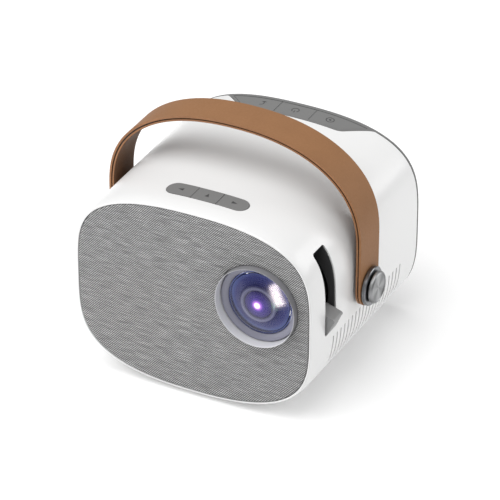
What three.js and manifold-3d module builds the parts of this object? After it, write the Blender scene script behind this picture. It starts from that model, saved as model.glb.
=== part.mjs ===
// Home projector: a squarish rounded body with a fabric front, an off-centre lens, a side focus lever
// and a strap handle that swings on two knobs. Millimetres, +Z up, the front faces -Y.
// Every piece is drawn with y = 0 on the fabric's face and z = 0 half way up the body, on the lens side +X.
import * as THREE from 'three';
import { mergeVertices } from 'three/addons/utils/BufferGeometryUtils.js';
import Module from 'manifold-3d';

const wasm = await Module();
wasm.setup();

// ---- driving dimensions ----
const CLEARANCE = 0.3;
const SHELL_STEPS = 48;

// The body's outline is |x / halfWidth|^side + |z / halfHeight|^top or bottom = 1.
const OUTLINE = { halfWidth: 60, halfHeight: 47.67, side: 2.489, top: 3.924, bottom: 3.587 };
const SHELL = {
  front: 0.2, lip: -0.6, lipEnd: 3.9, rear: 110.2, wall: 2.2, frontGrowth: 0.94, rearGrowth: 1.88,
  ledge: -2.6,
};
// Screw columns and posts inside the shell.
const BOSS = {
  front: 97, rear: 106.2, overlap: 0.3, keyPost: 2.4, keyPostTop: 45.8, boardPost: 2.5, boardPostX: 30,
  boardPostFloor: -45, boardPostsY: [30, 90],
};
const FABRIC = { thickness: 1.4, edge: 0.7, inset: -0.9 };
const CARRIER = { front: 1.6, rear: 3.8 };
const COVER = { front: 110.5, inside: 112.2, rear: 114.2, spigotFront: 106.5, spigotWall: 1.8 };
const TONGUE = { front: 98, halfWidth: 26, corner: 3, flare: 3.2, insertBorder: 1.3, insertDepth: 1.6 };
const REAR_KEY = {
  pitch: 18.2, seam: 0.25, y: 102.5, sink: 0.12, thickness: 0.73, plunger: 1.2, plungerBottom: 45.9,
  plungerGap: 0.6,
};

const LENS = { x: 33.5, z: 9.2, holeRadius: 20.5 };
const RING = { radius: 20.2, front: -3.4, rear: 5.5, boreRadius: 19.7, flange: 22.2, flangeFront: 4.3 };
const TRIM = { radius: 19.3, front: 1.4, bore: 16.1, boreFront: 2.5, rear: 4.4 };
const FRONT_GLASS = {
  radius: 15.8, front: -2.2, edge: 2.3, rear: 4, thickness: 1.2, hollow: 14.6, hollowEdge: 3.2,
};
const INNER_GLASS = { radius: 6.6, front: 0, edge: 1.25, rear: 5.5 };
// The baffle steps forwards from the seat to the nose; each step is [radius, y].
const BARREL = {
  radius: 18.2, bore: 16.1, front: 4.6, rear: 36, seat: 5.35, seatRadius: 15, steps: [[9.6, 2.6], [12, 3.9]],
  noseRadius: 8.8, noseFront: 1, noseBore: 6.9, noseEdge: 0.3, backWall: 7.5,
};
const HOLDER = { radius: 20.6, bore: 18.6, front: 7.6, rear: 41.7, flange: 22.5, flangeFront: 39 };
const FOCUS = { bore: 21, radius: 23.2, ridge: 0.35, front: 13.6, rear: 23.3 };
// The finger lever in its own frame: radii from the lens axis, and heights across its own radius.
const LEVER = {
  restAngle: -18.2, front: 14, rear: 22.9, inner: 23.65, reach: 32.7, top: 3.25, corner: 1.4, heel: -2.9,
  knee: 28.2, kneeHeight: -4.6, tail: -6, tailInner: 30.3, tailReach: 31.7,
};
const SLOT = { front: 13, rear: 23.9, bottom: -7.2, top: 34.6, corner: 1.4 };
const LINER = { gap: 0.2, wall: 0.5, sink: -0.5, back: -3.7, lap: 1.8, lapFront: -2.5, innerRadius: 24.1 };

const PILL = { halfLength: 20.6, halfWidth: 4.9, y: 16.2, divider: 6.4, proud: 0.35, bottom: 45.2 };
const BUTTON_SEAM = 0.2;
const FRONT_KEY_BOARD = { halfLength: 29.5, front: 11, rear: 21.4, top: 42, switchPitch: 13, postX: 27 };
const REAR_KEY_BOARD = { halfLength: 25, front: 99, rear: 105.8, top: 43 };
const SWITCH = { half: 2, height: 2.3 };
const VENT = { count: 19, first: 21.6, pitch: 3.9, width: 1.1, bottom: -27, top: -11.5 };
const FOOT = {
  x: 28, front: 18, rear: 92, radius: 4.6, bottom: -50.2, edge: 0.6, stem: 1.8, stemBottom: -49, stemTop: -41,
};
const TRIPOD = {
  y: 52, radius: 4, bore: 2.55, bottom: -49, top: -40.5, flange: 6, shelf: -45.9, flangeHeight: 1.2,
};
const COVER_SCREW = {
  x: 47.5, z: 34, boss: 3.6, pilot: 1.1, hole: 1.7, head: 2.9, shank: 1, tip: 99, seat: 112.6,
  headHeight: 1.2,
};
const GRILLE = { rows: 7, first: -4, pitch: 4.6, height: 2.2, halfLength: 15 };
const IR_WINDOW = { radius: 3.1, front: 112.3, rear: 114 };
const SPEAKER_SLOTS = { rows: 4, pitch: 4.4, half: 1.3, radius: 20 };

const PIVOT = { y: 50.4, z: 1.1, pin: 2, strapHole: 2.4, nutIn: 55.5, nutOut: 58.2, nut: 4, pinOut: 67.7 };
const SPACER = { radius: 6, inner: 61.6, outer: 62.5 };
const FLANGE = { radius: 9.4, inner: 65.6, outer: 67.6 };
const KNOB = { radius: 7.7, inner: 67.9, outer: 70.3 };
// The strap's outer face is a superellipse arch of this half width and rise, above straight legs.
const STRAP = {
  halfWidth: 65.3, rise: 49.28, across: 2.242, up: 2.382, spring: 24.59, width: 19.3, steps: 26, tail: 12,
};
const LAYERS = { outer: [0, 1], core: [1.1, 1.45], inner: [1.55, 2.55], coreInset: 0.9 };

const ENGINE = { halfWidth: 20, halfHeight: 16, front: 42, rear: 88, wall: 1.8 };
const HEAT_SINK = { front: 90.5, base: 3, rear: 105.5, half: 18, fins: 10, fin: 1.2 };
const SPEAKER = {
  x: -24, z: 0, radius: 24, front: 4.2, opening: 20.6, rim: 2, magnet: 13.5, magnetFront: 19.4,
  magnetRear: 27, neck: 10.8, neckFront: 18.2, cone: 20.1, dustCap: 5.4, paper: 0.9,
};
const FAN = {
  x: -51, thickness: 10, y: 62, z: -10, half: 20, bore: 18.6, hub: 7.5, blades: 7, bladeAngle: 48,
  bladeLength: 9.5, strut: 1.4, strutHalf: 1, gap: 0.8,
};
const BOARD = { halfWidth: 40, front: 22, rear: 104, bottom: -38, thickness: 1.6 };
const PORT = { front: 100, rear: 113.2, floor: 2, boardGap: 0.1, coverGap: 0.35, shell: 0.7 };
const SOCKETS = {
  dc: { x: -31, width: 9, height: 9 },
  hdmi: { x: -12, width: 15, height: 6 },
  usb: { x: 8, width: 14, height: 7 },
  audio: { x: 26, width: 8, height: 8 },
};

// ---- materials ----
const finish = (color, roughness, metalness = 0) => ({ color, roughness, metalness });
const WHITE_PLASTIC = finish(0xf1f0ec, 0.34);
const GREY_PLASTIC = finish(0x7d7d7a, 0.5);
const DARK_PLASTIC = finish(0x2b2b2c, 0.55);
const LENS_RING_GREY = finish(0xb4b6b8, 0.38);
const FABRIC_GREY = finish(0x8f8f8c, 0.92);
const GLASS = finish(0x39406a, 0.06);
const LEATHER = finish(0xa27a55, 0.68);
const LINING = finish(0x8a6243, 0.72);
const CHROME = finish(0xd4d5d6, 0.16, 1);
const STEEL = finish(0x6f7072, 0.32, 1);
const BRASS = finish(0xb9924a, 0.3, 1);
const ALUMINIUM = finish(0xa9abad, 0.42, 1);
const BOARD_GREEN = finish(0x23573a, 0.5);
const RUBBER = finish(0x232323, 0.85);
const CONE_PAPER = finish(0x1d1d1e, 0.8);

// ---- booleans ----
function solid(geometry) {
  const bare = geometry.clone();
  bare.deleteAttribute('normal');
  bare.deleteAttribute('uv');
  const merged = mergeVertices(bare, 1e-4);
  const mesh = new wasm.Mesh({
    numProp: 3,
    vertProperties: new Float32Array(merged.attributes.position.array),
    triVerts: new Uint32Array(merged.index.array),
  });
  return new wasm.Manifold(mesh);
}

function geometryOf(manifold) {
  const mesh = manifold.getMesh();
  const geometry = new THREE.BufferGeometry();
  geometry.setAttribute('position', new THREE.BufferAttribute(new Float32Array(mesh.vertProperties), 3));
  geometry.setIndex(new THREE.BufferAttribute(new Uint32Array(mesh.triVerts), 1));
  return geometry;
}

const join = (first, ...more) => geometryOf(more.reduce((sum, g) => sum.add(solid(g)), solid(first)));
const cut = (first, ...tools) => geometryOf(tools.reduce((rest, g) => rest.subtract(solid(g)), solid(first)));
const common = (first, second) => geometryOf(solid(first).intersect(solid(second)));

// ---- basic shapes ----
function box(x0, x1, y0, y1, z0, z1) {
  const geometry = new THREE.BoxGeometry(x1 - x0, y1 - y0, z1 - z0);
  return geometry.translate((x0 + x1) / 2, (y0 + y1) / 2, (z0 + z1) / 2);
}

function turned(profile, sides, x = 0, y = 0, z = 0) {
  const points = profile.map(([radius, along]) => new THREE.Vector2(radius, along));
  const geometry = new THREE.LatheGeometry(points, sides);
  return outward(geometry).translate(x, y, z);
}

const turnedOnY = (profile, x, z, sides = 32) => turned(profile, sides, x, 0, z);

function turnedOnX(profile, y, z, sides = 32) {
  return turned(profile, sides).rotateZ(-Math.PI / 2).translate(0, y, z);
}

function turnedOnZ(profile, x, y, sides = 20) {
  return turned(profile, sides).rotateX(Math.PI / 2).translate(x, y, 0);
}

const rod = (radius, from, to) => [[0, from], [radius, from], [radius, to], [0, to]];
const tube = (bore, radius, from, to) =>
  [[bore, from], [radius, from], [radius, to], [bore, to], [bore, from]];

function outward(geometry) {
  const p = geometry.attributes.position;
  const index = geometry.index.array;
  const [a, b, c] = [new THREE.Vector3(), new THREE.Vector3(), new THREE.Vector3()];
  let volume = 0;
  for (let i = 0; i < index.length; i += 3) {
    a.fromBufferAttribute(p, index[i]);
    b.fromBufferAttribute(p, index[i + 1]);
    c.fromBufferAttribute(p, index[i + 2]);
    volume += a.dot(b.cross(c));
  }
  if (volume < 0) index.reverse();
  return geometry;
}

function slab(shape, depth) {
  return new THREE.ExtrudeGeometry(shape, { depth, bevelEnabled: false, curveSegments: 8 });
}

// A shape drawn in x and z, extruded along y.
function slabOnY(shape, y0, y1) {
  return slab(shape, y1 - y0).rotateX(Math.PI / 2).translate(0, y1, 0);
}

// A shape drawn in x and y, extruded along z.
function slabOnZ(shape, z0, z1) {
  return slab(shape, z1 - z0).translate(0, 0, z0);
}

// A shape drawn in y and z, extruded along x.
function slabOnX(shape, x0, x1) {
  return slab(shape, x1 - x0).rotateY(Math.PI / 2).rotateX(Math.PI / 2).translate(x0, 0, 0);
}

function roundedRectangle(x0, x1, y0, y1, r) {
  const shape = new THREE.Shape();
  shape.moveTo(x0 + r, y0).lineTo(x1 - r, y0).absarc(x1 - r, y0 + r, r, -Math.PI / 2, 0);
  shape.lineTo(x1, y1 - r).absarc(x1 - r, y1 - r, r, 0, Math.PI / 2);
  shape.lineTo(x0 + r, y1).absarc(x0 + r, y1 - r, r, Math.PI / 2, Math.PI);
  shape.lineTo(x0, y0 + r).absarc(x0 + r, y0 + r, r, Math.PI, 1.5 * Math.PI);
  return shape;
}

// ---- the body's outline ----
const power = (value, exponent) => Math.sign(value) * Math.abs(value) ** exponent;

function outlinePoint(angle, growth) {
  const [c, s] = [Math.cos(angle), Math.sin(angle)];
  const upright = s > 0 ? OUTLINE.top : OUTLINE.bottom;
  const x = (OUTLINE.halfWidth + growth) * power(c, 2 / OUTLINE.side);
  const z = (OUTLINE.halfHeight + growth) * power(s, 2 / upright);
  return [x, z];
}

const AXIS = null;

// Sweeps a section round the outline. Each point is [growth past the outline, y], or [AXIS, y].
function outlined(section) {
  const base = 100;
  const points = section.map(([growth, y]) => new THREE.Vector2(growth === AXIS ? 0 : base + growth, y));
  const geometry = new THREE.LatheGeometry(points, SHELL_STEPS);
  const p = geometry.attributes.position;
  for (let i = 0; i < p.count; i += 1) {
    const radius = Math.hypot(p.getX(i), p.getZ(i));
    const onAxis = radius < 1;
    const column = Math.floor(i / points.length) % SHELL_STEPS;
    const [x, z] = onAxis ? [0, 0] : outlinePoint((2 * Math.PI * column) / SHELL_STEPS, radius - base);
    p.setXYZ(i, x, p.getY(i), z);
  }
  return outward(geometry);
}

function shellGrowth(y) {
  const share = (y - SHELL.lipEnd) / (SHELL.rear - SHELL.lipEnd);
  return THREE.MathUtils.lerp(SHELL.frontGrowth, SHELL.rearGrowth, share);
}

// The solid inside the shell's outer surface, moved out by `more`, between two depths.
function bodySolid(more, y0, y1) {
  const [g0, g1] = [shellGrowth(y0) + more, shellGrowth(y1) + more];
  return outlined([[AXIS, y0], [g0, y0], [g1, y1], [AXIS, y1]]);
}

function wallAt(y, more = 0) {
  return shellGrowth(y) - SHELL.wall + more;
}

// ---- casing ----
function pillShape(grow) {
  const w = PILL.halfWidth + grow;
  const l = PILL.halfLength + grow;
  return roundedRectangle(-l, l, PILL.y - w, PILL.y + w, w - 0.01);
}

// The tongue widens rearwards at 45 degrees, with rounded front corners and a flare where it meets the rim.
function tongueShape(shrink) {
  const [y0, y1] = [TONGUE.front + shrink, COVER.front + 0.2 - shrink];
  const w0 = TONGUE.halfWidth - shrink * 0.41;
  const w1 = w0 + (y1 - y0);
  const flare = shrink > 0 ? 0 : TONGUE.flare;
  const shape = new THREE.Shape();
  const { corner } = TONGUE;
  shape.moveTo(-w0 + corner, y0).lineTo(w0 - corner, y0);
  shape.quadraticCurveTo(w0, y0, w0 + corner * 0.7, y0 + corner * 0.7);
  shape.lineTo(w1 - flare, y1 - flare);
  if (flare > 0) shape.quadraticCurveTo(w1 - 0.4, y1 - 0.4, w1 + flare * 1.2, y1);
  else shape.lineTo(w1, y1);
  const right = shape.getPoints(3);
  const left = right.map((point) => new THREE.Vector2(-point.x, point.y)).reverse();
  return new THREE.Shape([...right.slice(1), ...left.slice(0, -1)]);
}

function ventSlits() {
  const slits = [];
  for (let i = 0; i < VENT.count; i += 1) {
    const y = VENT.first + i * VENT.pitch;
    slits.push(box(-70, -50, y, y + VENT.width, VENT.bottom, VENT.top));
    slits.push(box(50, 70, y, y + VENT.width, VENT.bottom, VENT.top));
  }
  return slits;
}

const footPlaces = [-1, 1].flatMap((side) => [FOOT.front, FOOT.rear].map((y) => [side * FOOT.x, y]));
const coverScrewPlaces = [-1, 1].flatMap((side) =>
  [-1, 1].map((up) => [side * COVER_SCREW.x, up * COVER_SCREW.z]));

function shellBosses() {
  const column = rod(COVER_SCREW.boss, BOSS.front, BOSS.rear);
  const keyPost = rod(BOSS.keyPost, FRONT_KEY_BOARD.top + 0.1, BOSS.keyPostTop);
  const boardPost = rod(BOSS.boardPost, BOSS.boardPostFloor, BOARD.bottom - 0.1);
  const bosses = coverScrewPlaces.map(([x, z]) => turnedOnY(column, x, z, 16));
  for (const side of [-1, 1]) {
    bosses.push(turnedOnZ(keyPost, side * FRONT_KEY_BOARD.postX, PILL.y, 12));
    for (const y of BOSS.boardPostsY) bosses.push(turnedOnZ(boardPost, side * BOSS.boardPostX, y, 12));
  }
  return bosses;
}

function mainShell() {
  const rearInner = wallAt(SHELL.rear);
  let shell = outlined([
    [SHELL.lip, 0.35], [SHELL.lip + 0.2, SHELL.front], [-0.1, SHELL.front], [0.34, 0.8], [0.66, 1.4],
    [SHELL.frontGrowth, SHELL.lipEnd], [shellGrowth(9) + 0.15, 9],
    [SHELL.rearGrowth, SHELL.rear - 0.4], [SHELL.rearGrowth - 0.3, SHELL.rear],
    [rearInner, SHELL.rear], [wallAt(8), 8], [SHELL.ledge, 4.6], [SHELL.ledge, SHELL.lipEnd],
    [SHELL.lip, SHELL.lipEnd], [SHELL.lip, 0.35],
  ]);
  shell = join(shell, ...shellBosses());
  const pilot = rod(COVER_SCREW.pilot, BOSS.front + 1, BOSS.rear + 1);
  const holes = [
    slabOnZ(pillShape(0.2), 38, 60),
    slabOnZ(tongueShape(-CLEARANCE), 34, 60),
    slabOnX(slotShape(0), 45, 70),
    turnedOnX(rod(PIVOT.pin + 0.4, -70, 70), PIVOT.y, PIVOT.z, 20),
    turnedOnZ(rod(TRIPOD.radius + 0.2, -60, TRIPOD.top), 0, TRIPOD.y),
    ...footPlaces.map(([x, y]) => turnedOnZ(rod(FOOT.stem + CLEARANCE, -60, -38), x, y, 12)),
    ...coverScrewPlaces.map(([x, z]) => turnedOnY(pilot, x, z, 10)),
    ...ventSlits(),
  ];
  return cut(shell, ...holes);
}

const lensHole = () => turnedOnY(rod(LENS.holeRadius, -10, 10), LENS.x, LENS.z, 40);

function frontFabric() {
  const sheet = outlined([
    [AXIS, 0], [FABRIC.inset - 0.9, 0], [FABRIC.inset - 0.25, 0.2], [FABRIC.inset, FABRIC.edge],
    [FABRIC.inset, FABRIC.thickness], [AXIS, FABRIC.thickness],
  ]);
  return cut(sheet, lensHole());
}

function frontCarrier() {
  const plate = outlined([
    [AXIS, CARRIER.front], [FABRIC.inset, CARRIER.front], [FABRIC.inset, CARRIER.rear], [AXIS, CARRIER.rear],
  ]);
  const slots = [];
  const { rows, pitch, half, radius } = SPEAKER_SLOTS;
  for (let row = -rows; row <= rows; row += 1) {
    const z = SPEAKER.z + row * pitch;
    const reach = Math.sqrt(radius ** 2 - (row * pitch) ** 2);
    slots.push(box(SPEAKER.x - reach, SPEAKER.x + reach, 0, 6, z - half, z + half));
  }
  return cut(plate, lensHole(), ...slots);
}

// The rear cover: the grey rim, the back plate, its spigot and screw columns, and the tongue on top.
function backGrille() {
  const slots = [];
  for (const side of [-1, 1]) {
    for (let row = 0; row < GRILLE.rows; row += 1) {
      const [x, z] = [side * LENS.x, GRILLE.first + row * GRILLE.pitch];
      slots.push(box(x - GRILLE.halfLength, x + GRILLE.halfLength, 105, 116, z, z + GRILLE.height));
    }
  }
  return slots;
}

function socketBox(socket, grow, y0, y1) {
  const bottom = BOARD.bottom + BOARD.thickness + PORT.boardGap;
  const half = socket.width / 2 + grow;
  return box(socket.x - half, socket.x + half, y0, y1, bottom - grow, bottom + socket.height + grow);
}

function coverBody() {
  const spigotOut = wallAt(COVER.front, -0.4);
  const spigotIn = spigotOut - COVER.spigotWall;
  return outlined([
    [AXIS, COVER.inside], [spigotIn, COVER.inside], [spigotIn, COVER.spigotFront],
    [spigotOut, COVER.spigotFront], [spigotOut, COVER.front], [SHELL.rearGrowth, COVER.front],
    [SHELL.rearGrowth, COVER.front + 0.6], [SHELL.rearGrowth - 0.5, COVER.rear - 2.1], [0.1, COVER.rear - 1],
    [-3, COVER.rear], [AXIS, COVER.rear],
  ]);
}

function coverColumns() {
  const inside = bodySolid(-SHELL.wall - 0.4, TONGUE.front, COVER.rear);
  const column = rod(COVER_SCREW.boss, BOSS.rear + BOSS.overlap, COVER.inside + BOSS.overlap);
  return coverScrewPlaces.map(([x, z]) => common(turnedOnY(column, x, z, 16), inside));
}

function coverTongue() {
  const outer = bodySolid(0, TONGUE.front - 1, 111.4);
  return cut(common(slabOnZ(tongueShape(0), 34, 60), outer), bodySolid(-SHELL.wall, TONGUE.front - 2, 120));
}

function coverHoles() {
  const insert = slabOnZ(tongueShape(TONGUE.insertBorder), 30, 60);
  const pocket = cut(insert, bodySolid(-TONGUE.insertDepth, 90, 118));
  const clearHole = rod(COVER_SCREW.hole, 100, 120);
  const headHole = rod(COVER_SCREW.head + CLEARANCE, COVER_SCREW.seat, 120);
  const plungerHole = rod(REAR_KEY.plunger + REAR_KEY.plungerGap, 40, 50);
  return [
    pocket,
    ...coverScrewPlaces.map(([x, z]) => turnedOnY(clearHole, x, z, 12)),
    ...coverScrewPlaces.map(([x, z]) => turnedOnY(headHole, x, z, 16)),
    ...Object.values(SOCKETS).map((socket) => socketBox(socket, PORT.coverGap, 104, 120)),
    ...[-1, 0, 1].map((place) => turnedOnZ(plungerHole, place * REAR_KEY.pitch, REAR_KEY.y, 12)),
    turnedOnY(rod(IR_WINDOW.radius + CLEARANCE, 105, 120), 0, LENS.z, 20),
    ...backGrille(),
  ];
}

function rearCover() {
  return cut(join(coverBody(), coverTongue(), ...coverColumns()), ...coverHoles());
}

// The keypad in the tongue is three key caps side by side.
function rearKey(place) {
  const { pitch, seam, y, sink, thickness, plunger, plungerBottom } = REAR_KEY;
  const half = place === 0 ? pitch / 2 : 40;
  const left = place < 0 ? -half : (place - 0.5) * pitch + seam / 2;
  const right = place > 0 ? half : (place + 0.5) * pitch - seam / 2;
  const outline = slabOnZ(tongueShape(TONGUE.insertBorder + 0.25), 30, 60);
  const strip = box(left, right, 90, 120, 30, 60);
  const skin = cut(bodySolid(-sink, 95, 112), bodySolid(-sink - thickness, 90, 118));
  const cap = common(common(outline, strip), skin);
  const post = turnedOnZ(rod(plunger, plungerBottom, 50), place * pitch, y, 10);
  return join(cap, common(post, bodySolid(-sink - thickness / 2, 95, 112)));
}

function frontButton(place) {
  const left = place < 0 ? -40 : (place - 0.5) * 2 * PILL.divider + BUTTON_SEAM / 2;
  const right = place > 0 ? 40 : (place + 0.5) * 2 * PILL.divider - BUTTON_SEAM / 2;
  const outline = slabOnZ(pillShape(-0.1), PILL.bottom, 60);
  const strip = box(left, right, 0, 40, 30, 60);
  return common(common(outline, strip), bodySolid(PILL.proud, 4, 40));
}

function keyBoard({ halfLength, front, rear, top }, pitch, y) {
  const board = box(-halfLength, halfLength, front, rear, top - BOARD.thickness, top);
  const { half, height } = SWITCH;
  const bodies = [-1, 0, 1].map((place) => place * pitch)
    .map((x) => box(x - half, x + half, y - half, y + half, top - 0.5, top + height));
  return join(board, ...bodies);
}

function foot(x, y) {
  const { radius, bottom, edge, stem, stemBottom, stemTop } = FOOT;
  const pad = turnedOnZ([[0, bottom], [radius - edge, bottom], [radius, bottom + edge], [radius, stemTop],
    [0, stemTop]], x, y, 14);
  const trimmed = cut(pad, bodySolid(CLEARANCE, 2, 112));
  return join(trimmed, turnedOnZ(rod(stem, stemBottom, stemTop), x, y, 12));
}

function tripodBush() {
  const { radius, bore, bottom, top, flange, shelf, flangeHeight } = TRIPOD;
  const flangeTop = shelf + flangeHeight;
  return turnedOnZ([[bore, bottom], [radius, bottom], [radius, shelf], [flange, shelf], [flange, flangeTop],
    [radius, flangeTop], [radius, top], [bore, top], [bore, bottom]], 0, TRIPOD.y, 24);
}

function coverScrew(x, z) {
  const { shank, head, tip, seat, headHeight } = COVER_SCREW;
  const under = seat + 0.1;
  const top = under + headHeight;
  return turnedOnY([[0, tip], [shank, tip + shank], [shank, under], [head, under], [head, top - 0.5],
    [head - 0.9, top], [0, top]], x, z, 12);
}

// ---- lens and focus ----
function lensRing() {
  const { radius, front, rear, boreRadius, flange, flangeFront } = RING;
  return turnedOnY([[boreRadius, rear], [boreRadius, front + 0.6], [boreRadius + 0.12, front + 0.1],
    [boreRadius + 0.25, front], [radius - 0.1, front + 0.1], [radius, front + 0.4], [radius, flangeFront],
    [flange, flangeFront], [flange, rear], [boreRadius, rear]], LENS.x, LENS.z, 40);
}

function trimRing() {
  const { radius, front, bore, boreFront, rear } = TRIM;
  return turnedOnY([[radius, front], [radius, rear], [bore, rear], [bore, boreFront], [radius, front]],
    LENS.x, LENS.z, 36);
}

// The barrel is closed in front by a stepped baffle with a nose that holds the inner lens.
function lensBarrel() {
  const { radius, bore, front, rear, seat, seatRadius, steps, backWall } = BARREL;
  const { noseRadius, noseFront, noseBore, noseEdge } = BARREL;
  return turnedOnY([[bore, front], [radius, front], [radius, rear], [bore, rear], [bore, backWall + 1],
    [noseRadius + 0.8, backWall], [noseBore, backWall], [noseBore, noseFront + noseEdge],
    [noseBore + noseEdge, noseFront], [noseRadius, noseFront], [noseRadius, noseFront + 0.8], ...steps,
    [seatRadius, seat], [bore, seat], [bore, front]], LENS.x, LENS.z);
}

// Points on a shallow dome from its rim to its middle.
function dome(radius, middle, edge, steps) {
  const points = [];
  for (let i = steps; i >= 0; i -= 1) {
    const share = i / steps;
    points.push([radius * share, middle + (edge - middle) * share ** 2]);
  }
  return points;
}

// The front lens is a meniscus: a domed shell, open behind.
function frontLens() {
  const { radius, front, edge, rear, thickness, hollow, hollowEdge } = FRONT_GLASS;
  const inside = dome(hollow, front + thickness, hollowEdge, 5).reverse();
  return turnedOnY([...inside, [hollow + 0.2, rear], [radius, rear], ...dome(radius, front, edge, 5)],
    LENS.x, LENS.z, 36);
}

function innerLens() {
  const { radius, front, edge, rear } = INNER_GLASS;
  return turnedOnY([[0, rear], [radius, rear], ...dome(radius, front, edge, 4)], LENS.x, LENS.z, 28);
}

function lensHolder() {
  const { radius, bore, front, rear, flange, flangeFront } = HOLDER;
  return turnedOnY([[bore, front], [radius, front], [radius, flangeFront], [flange, flangeFront],
    [flange, rear], [bore, rear], [bore, front]], LENS.x, LENS.z);
}

function focusRing() {
  const { bore, radius, ridge, front, rear } = FOCUS;
  const middle = (front + rear) / 2;
  return turnedOnY([[bore, front], [radius, front], [radius, middle - 1], [radius + ridge, middle - 0.5],
    [radius + ridge, middle + 0.5], [radius, middle + 1], [radius, rear], [bore, rear], [bore, front]],
  LENS.x, LENS.z, 30);
}

// The lever reaches from the ring out through the slot and ends in a wedge, thick at the top.
function focusLever() {
  const { restAngle, front, rear, inner, reach, top, corner, heel, knee, kneeHeight } = LEVER;
  const { tail, tailInner, tailReach } = LEVER;
  const wedge = new THREE.Shape();
  wedge.moveTo(inner, top).lineTo(reach - corner, top).quadraticCurveTo(reach, top, reach, top - corner);
  wedge.lineTo(reach - 0.2, top - 3).lineTo(tailReach, tail).lineTo(tailInner, tail);
  wedge.lineTo(knee, kneeHeight).lineTo(inner, heel).closePath();
  const lever = slabOnY(wedge, front, rear);
  return lever.rotateY(-THREE.MathUtils.degToRad(restAngle)).translate(LENS.x, 0, LENS.z);
}

function slotShape(grow) {
  const { front, rear, bottom, top, corner } = SLOT;
  const r = corner + Math.min(grow, 0);
  return roundedRectangle(front - grow, rear + grow, bottom - grow, top + grow, r);
}

// The dark liner is a sleeve in the side slot, from just under the surface in to the focus ring,
// with a lap behind the wall.
function slotLiner() {
  const { gap, wall, sink, back, lap, lapFront, innerRadius } = LINER;
  const sleeve = common(slabOnX(slotShape(-gap), 40, 70), bodySolid(sink, 5, 40));
  const behindWall = cut(bodySolid(lapFront, 5, 40), bodySolid(back, 4, 41));
  const flange = common(slabOnX(slotShape(lap), 40, 70), behindWall);
  const drum = turnedOnY(rod(innerRadius, 4, 41), LENS.x, LENS.z, 48);
  return cut(join(sleeve, flange), slabOnX(slotShape(-gap - wall), 30, 70), drum);
}

// ---- handle ----
function strapCurve(inset) {
  const [a, b] = [STRAP.halfWidth - inset, STRAP.rise - inset];
  const points = [];
  for (let i = 0; i <= STRAP.steps; i += 1) {
    const angle = (Math.PI * i) / STRAP.steps;
    const c = Math.abs(Math.cos(angle)) < 1e-9 ? 0 : Math.cos(angle);
    const x = a * power(c, 2 / STRAP.across);
    const z = STRAP.spring + b * power(Math.max(Math.sin(angle), 0), 2 / STRAP.up);
    points.push(new THREE.Vector2(x, z));
  }
  return points;
}

function strapLayer([near, far], narrower = 0) {
  const half = STRAP.width / 2 - narrower;
  const foot = PIVOT.z - STRAP.tail;
  const outer = strapCurve(near);
  const inner = strapCurve(far).reverse();
  const corner = (side, inset) => new THREE.Vector2(side * (STRAP.halfWidth - inset), foot);
  const ends = [corner(-1, near), corner(-1, far)];
  const starts = [corner(1, far), corner(1, near)];
  const loop = new THREE.Shape([...outer, ...ends, ...inner, ...starts]);
  const band = slabOnY(loop, PIVOT.y - half, PIVOT.y + half);
  const side = new THREE.Shape();
  side.moveTo(PIVOT.y + half, 90).lineTo(PIVOT.y - half, 90).lineTo(PIVOT.y - half, PIVOT.z);
  side.absarc(PIVOT.y, PIVOT.z, half, Math.PI, 2 * Math.PI);
  const hole = turnedOnX(rod(PIVOT.strapHole, -80, 80), PIVOT.y, PIVOT.z, 20);
  return cut(common(band, slabOnX(side, -80, 80)), hole);
}

function onSide(side, profile, sides) {
  const ordered = profile.map(([radius, along]) => [radius, side * along]);
  return turnedOnX(ordered, PIVOT.y, PIVOT.z, sides);
}

const washer = ({ radius, inner, outer }) => tube(PIVOT.pin + CLEARANCE, radius, inner, outer);
const pivotSpacer = (side) => onSide(side, washer(SPACER), 16);
const pivotFlange = (side) => onSide(side, washer(FLANGE), 28);
const pivotPin = (side) => onSide(side, rod(PIVOT.pin, PIVOT.nutIn - 0.5, PIVOT.pinOut), 16);

function pivotNut(side) {
  const hexagon = onSide(side, rod(PIVOT.nut, PIVOT.nutIn, PIVOT.nutOut), 6);
  return cut(hexagon, onSide(side, rod(PIVOT.pin + 0.2, PIVOT.nutIn - 1, PIVOT.nutOut + 1), 14));
}

function knob(side) {
  const { radius, inner, outer } = KNOB;
  return onSide(side, [[0, inner], [radius - 0.6, inner], [radius, inner + 0.5], [radius, outer - 0.7],
    [radius - 0.45, outer], [radius - 1.1, outer], [radius - 1.4, outer - 0.35], [0, outer - 0.35]], 28);
}

// ---- projection engine ----
function engineBox(inset, y0, y1) {
  const [w, h] = [ENGINE.halfWidth - inset, ENGINE.halfHeight - inset];
  return box(LENS.x - w, LENS.x + w, y0, y1, LENS.z - h, LENS.z + h);
}

function opticalHousing() {
  const { front, rear, wall } = ENGINE;
  return cut(engineBox(0, front, rear), engineBox(wall, front - 1, rear + 1));
}

const enginePlate = (y0, y1, inset = ENGINE.wall + CLEARANCE) => engineBox(inset, y0, y1);

// A square funnel that widens towards the panel.
function frustum(front, rear, y0, y1) {
  const geometry = new THREE.BoxGeometry(2, y1 - y0, 2);
  const p = geometry.attributes.position;
  for (let i = 0; i < p.count; i += 1) {
    const half = p.getY(i) < 0 ? front : rear;
    p.setXYZ(i, p.getX(i) * half[0], p.getY(i), p.getZ(i) * half[1]);
  }
  return geometry.translate(LENS.x, (y0 + y1) / 2, LENS.z);
}

function lightTunnel() {
  const outer = frustum([17.6, 13.6], [7, 7], 61, 85);
  return cut(outer, frustum([16.7, 12.7], [6, 6], 60.9, 85.1));
}

function ledBoard() {
  const plate = engineBox(4, 88.3, 89.9);
  return join(plate, box(LENS.x - 4.5, LENS.x + 4.5, 86.2, 88.5, LENS.z - 4.5, LENS.z + 4.5));
}

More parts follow.
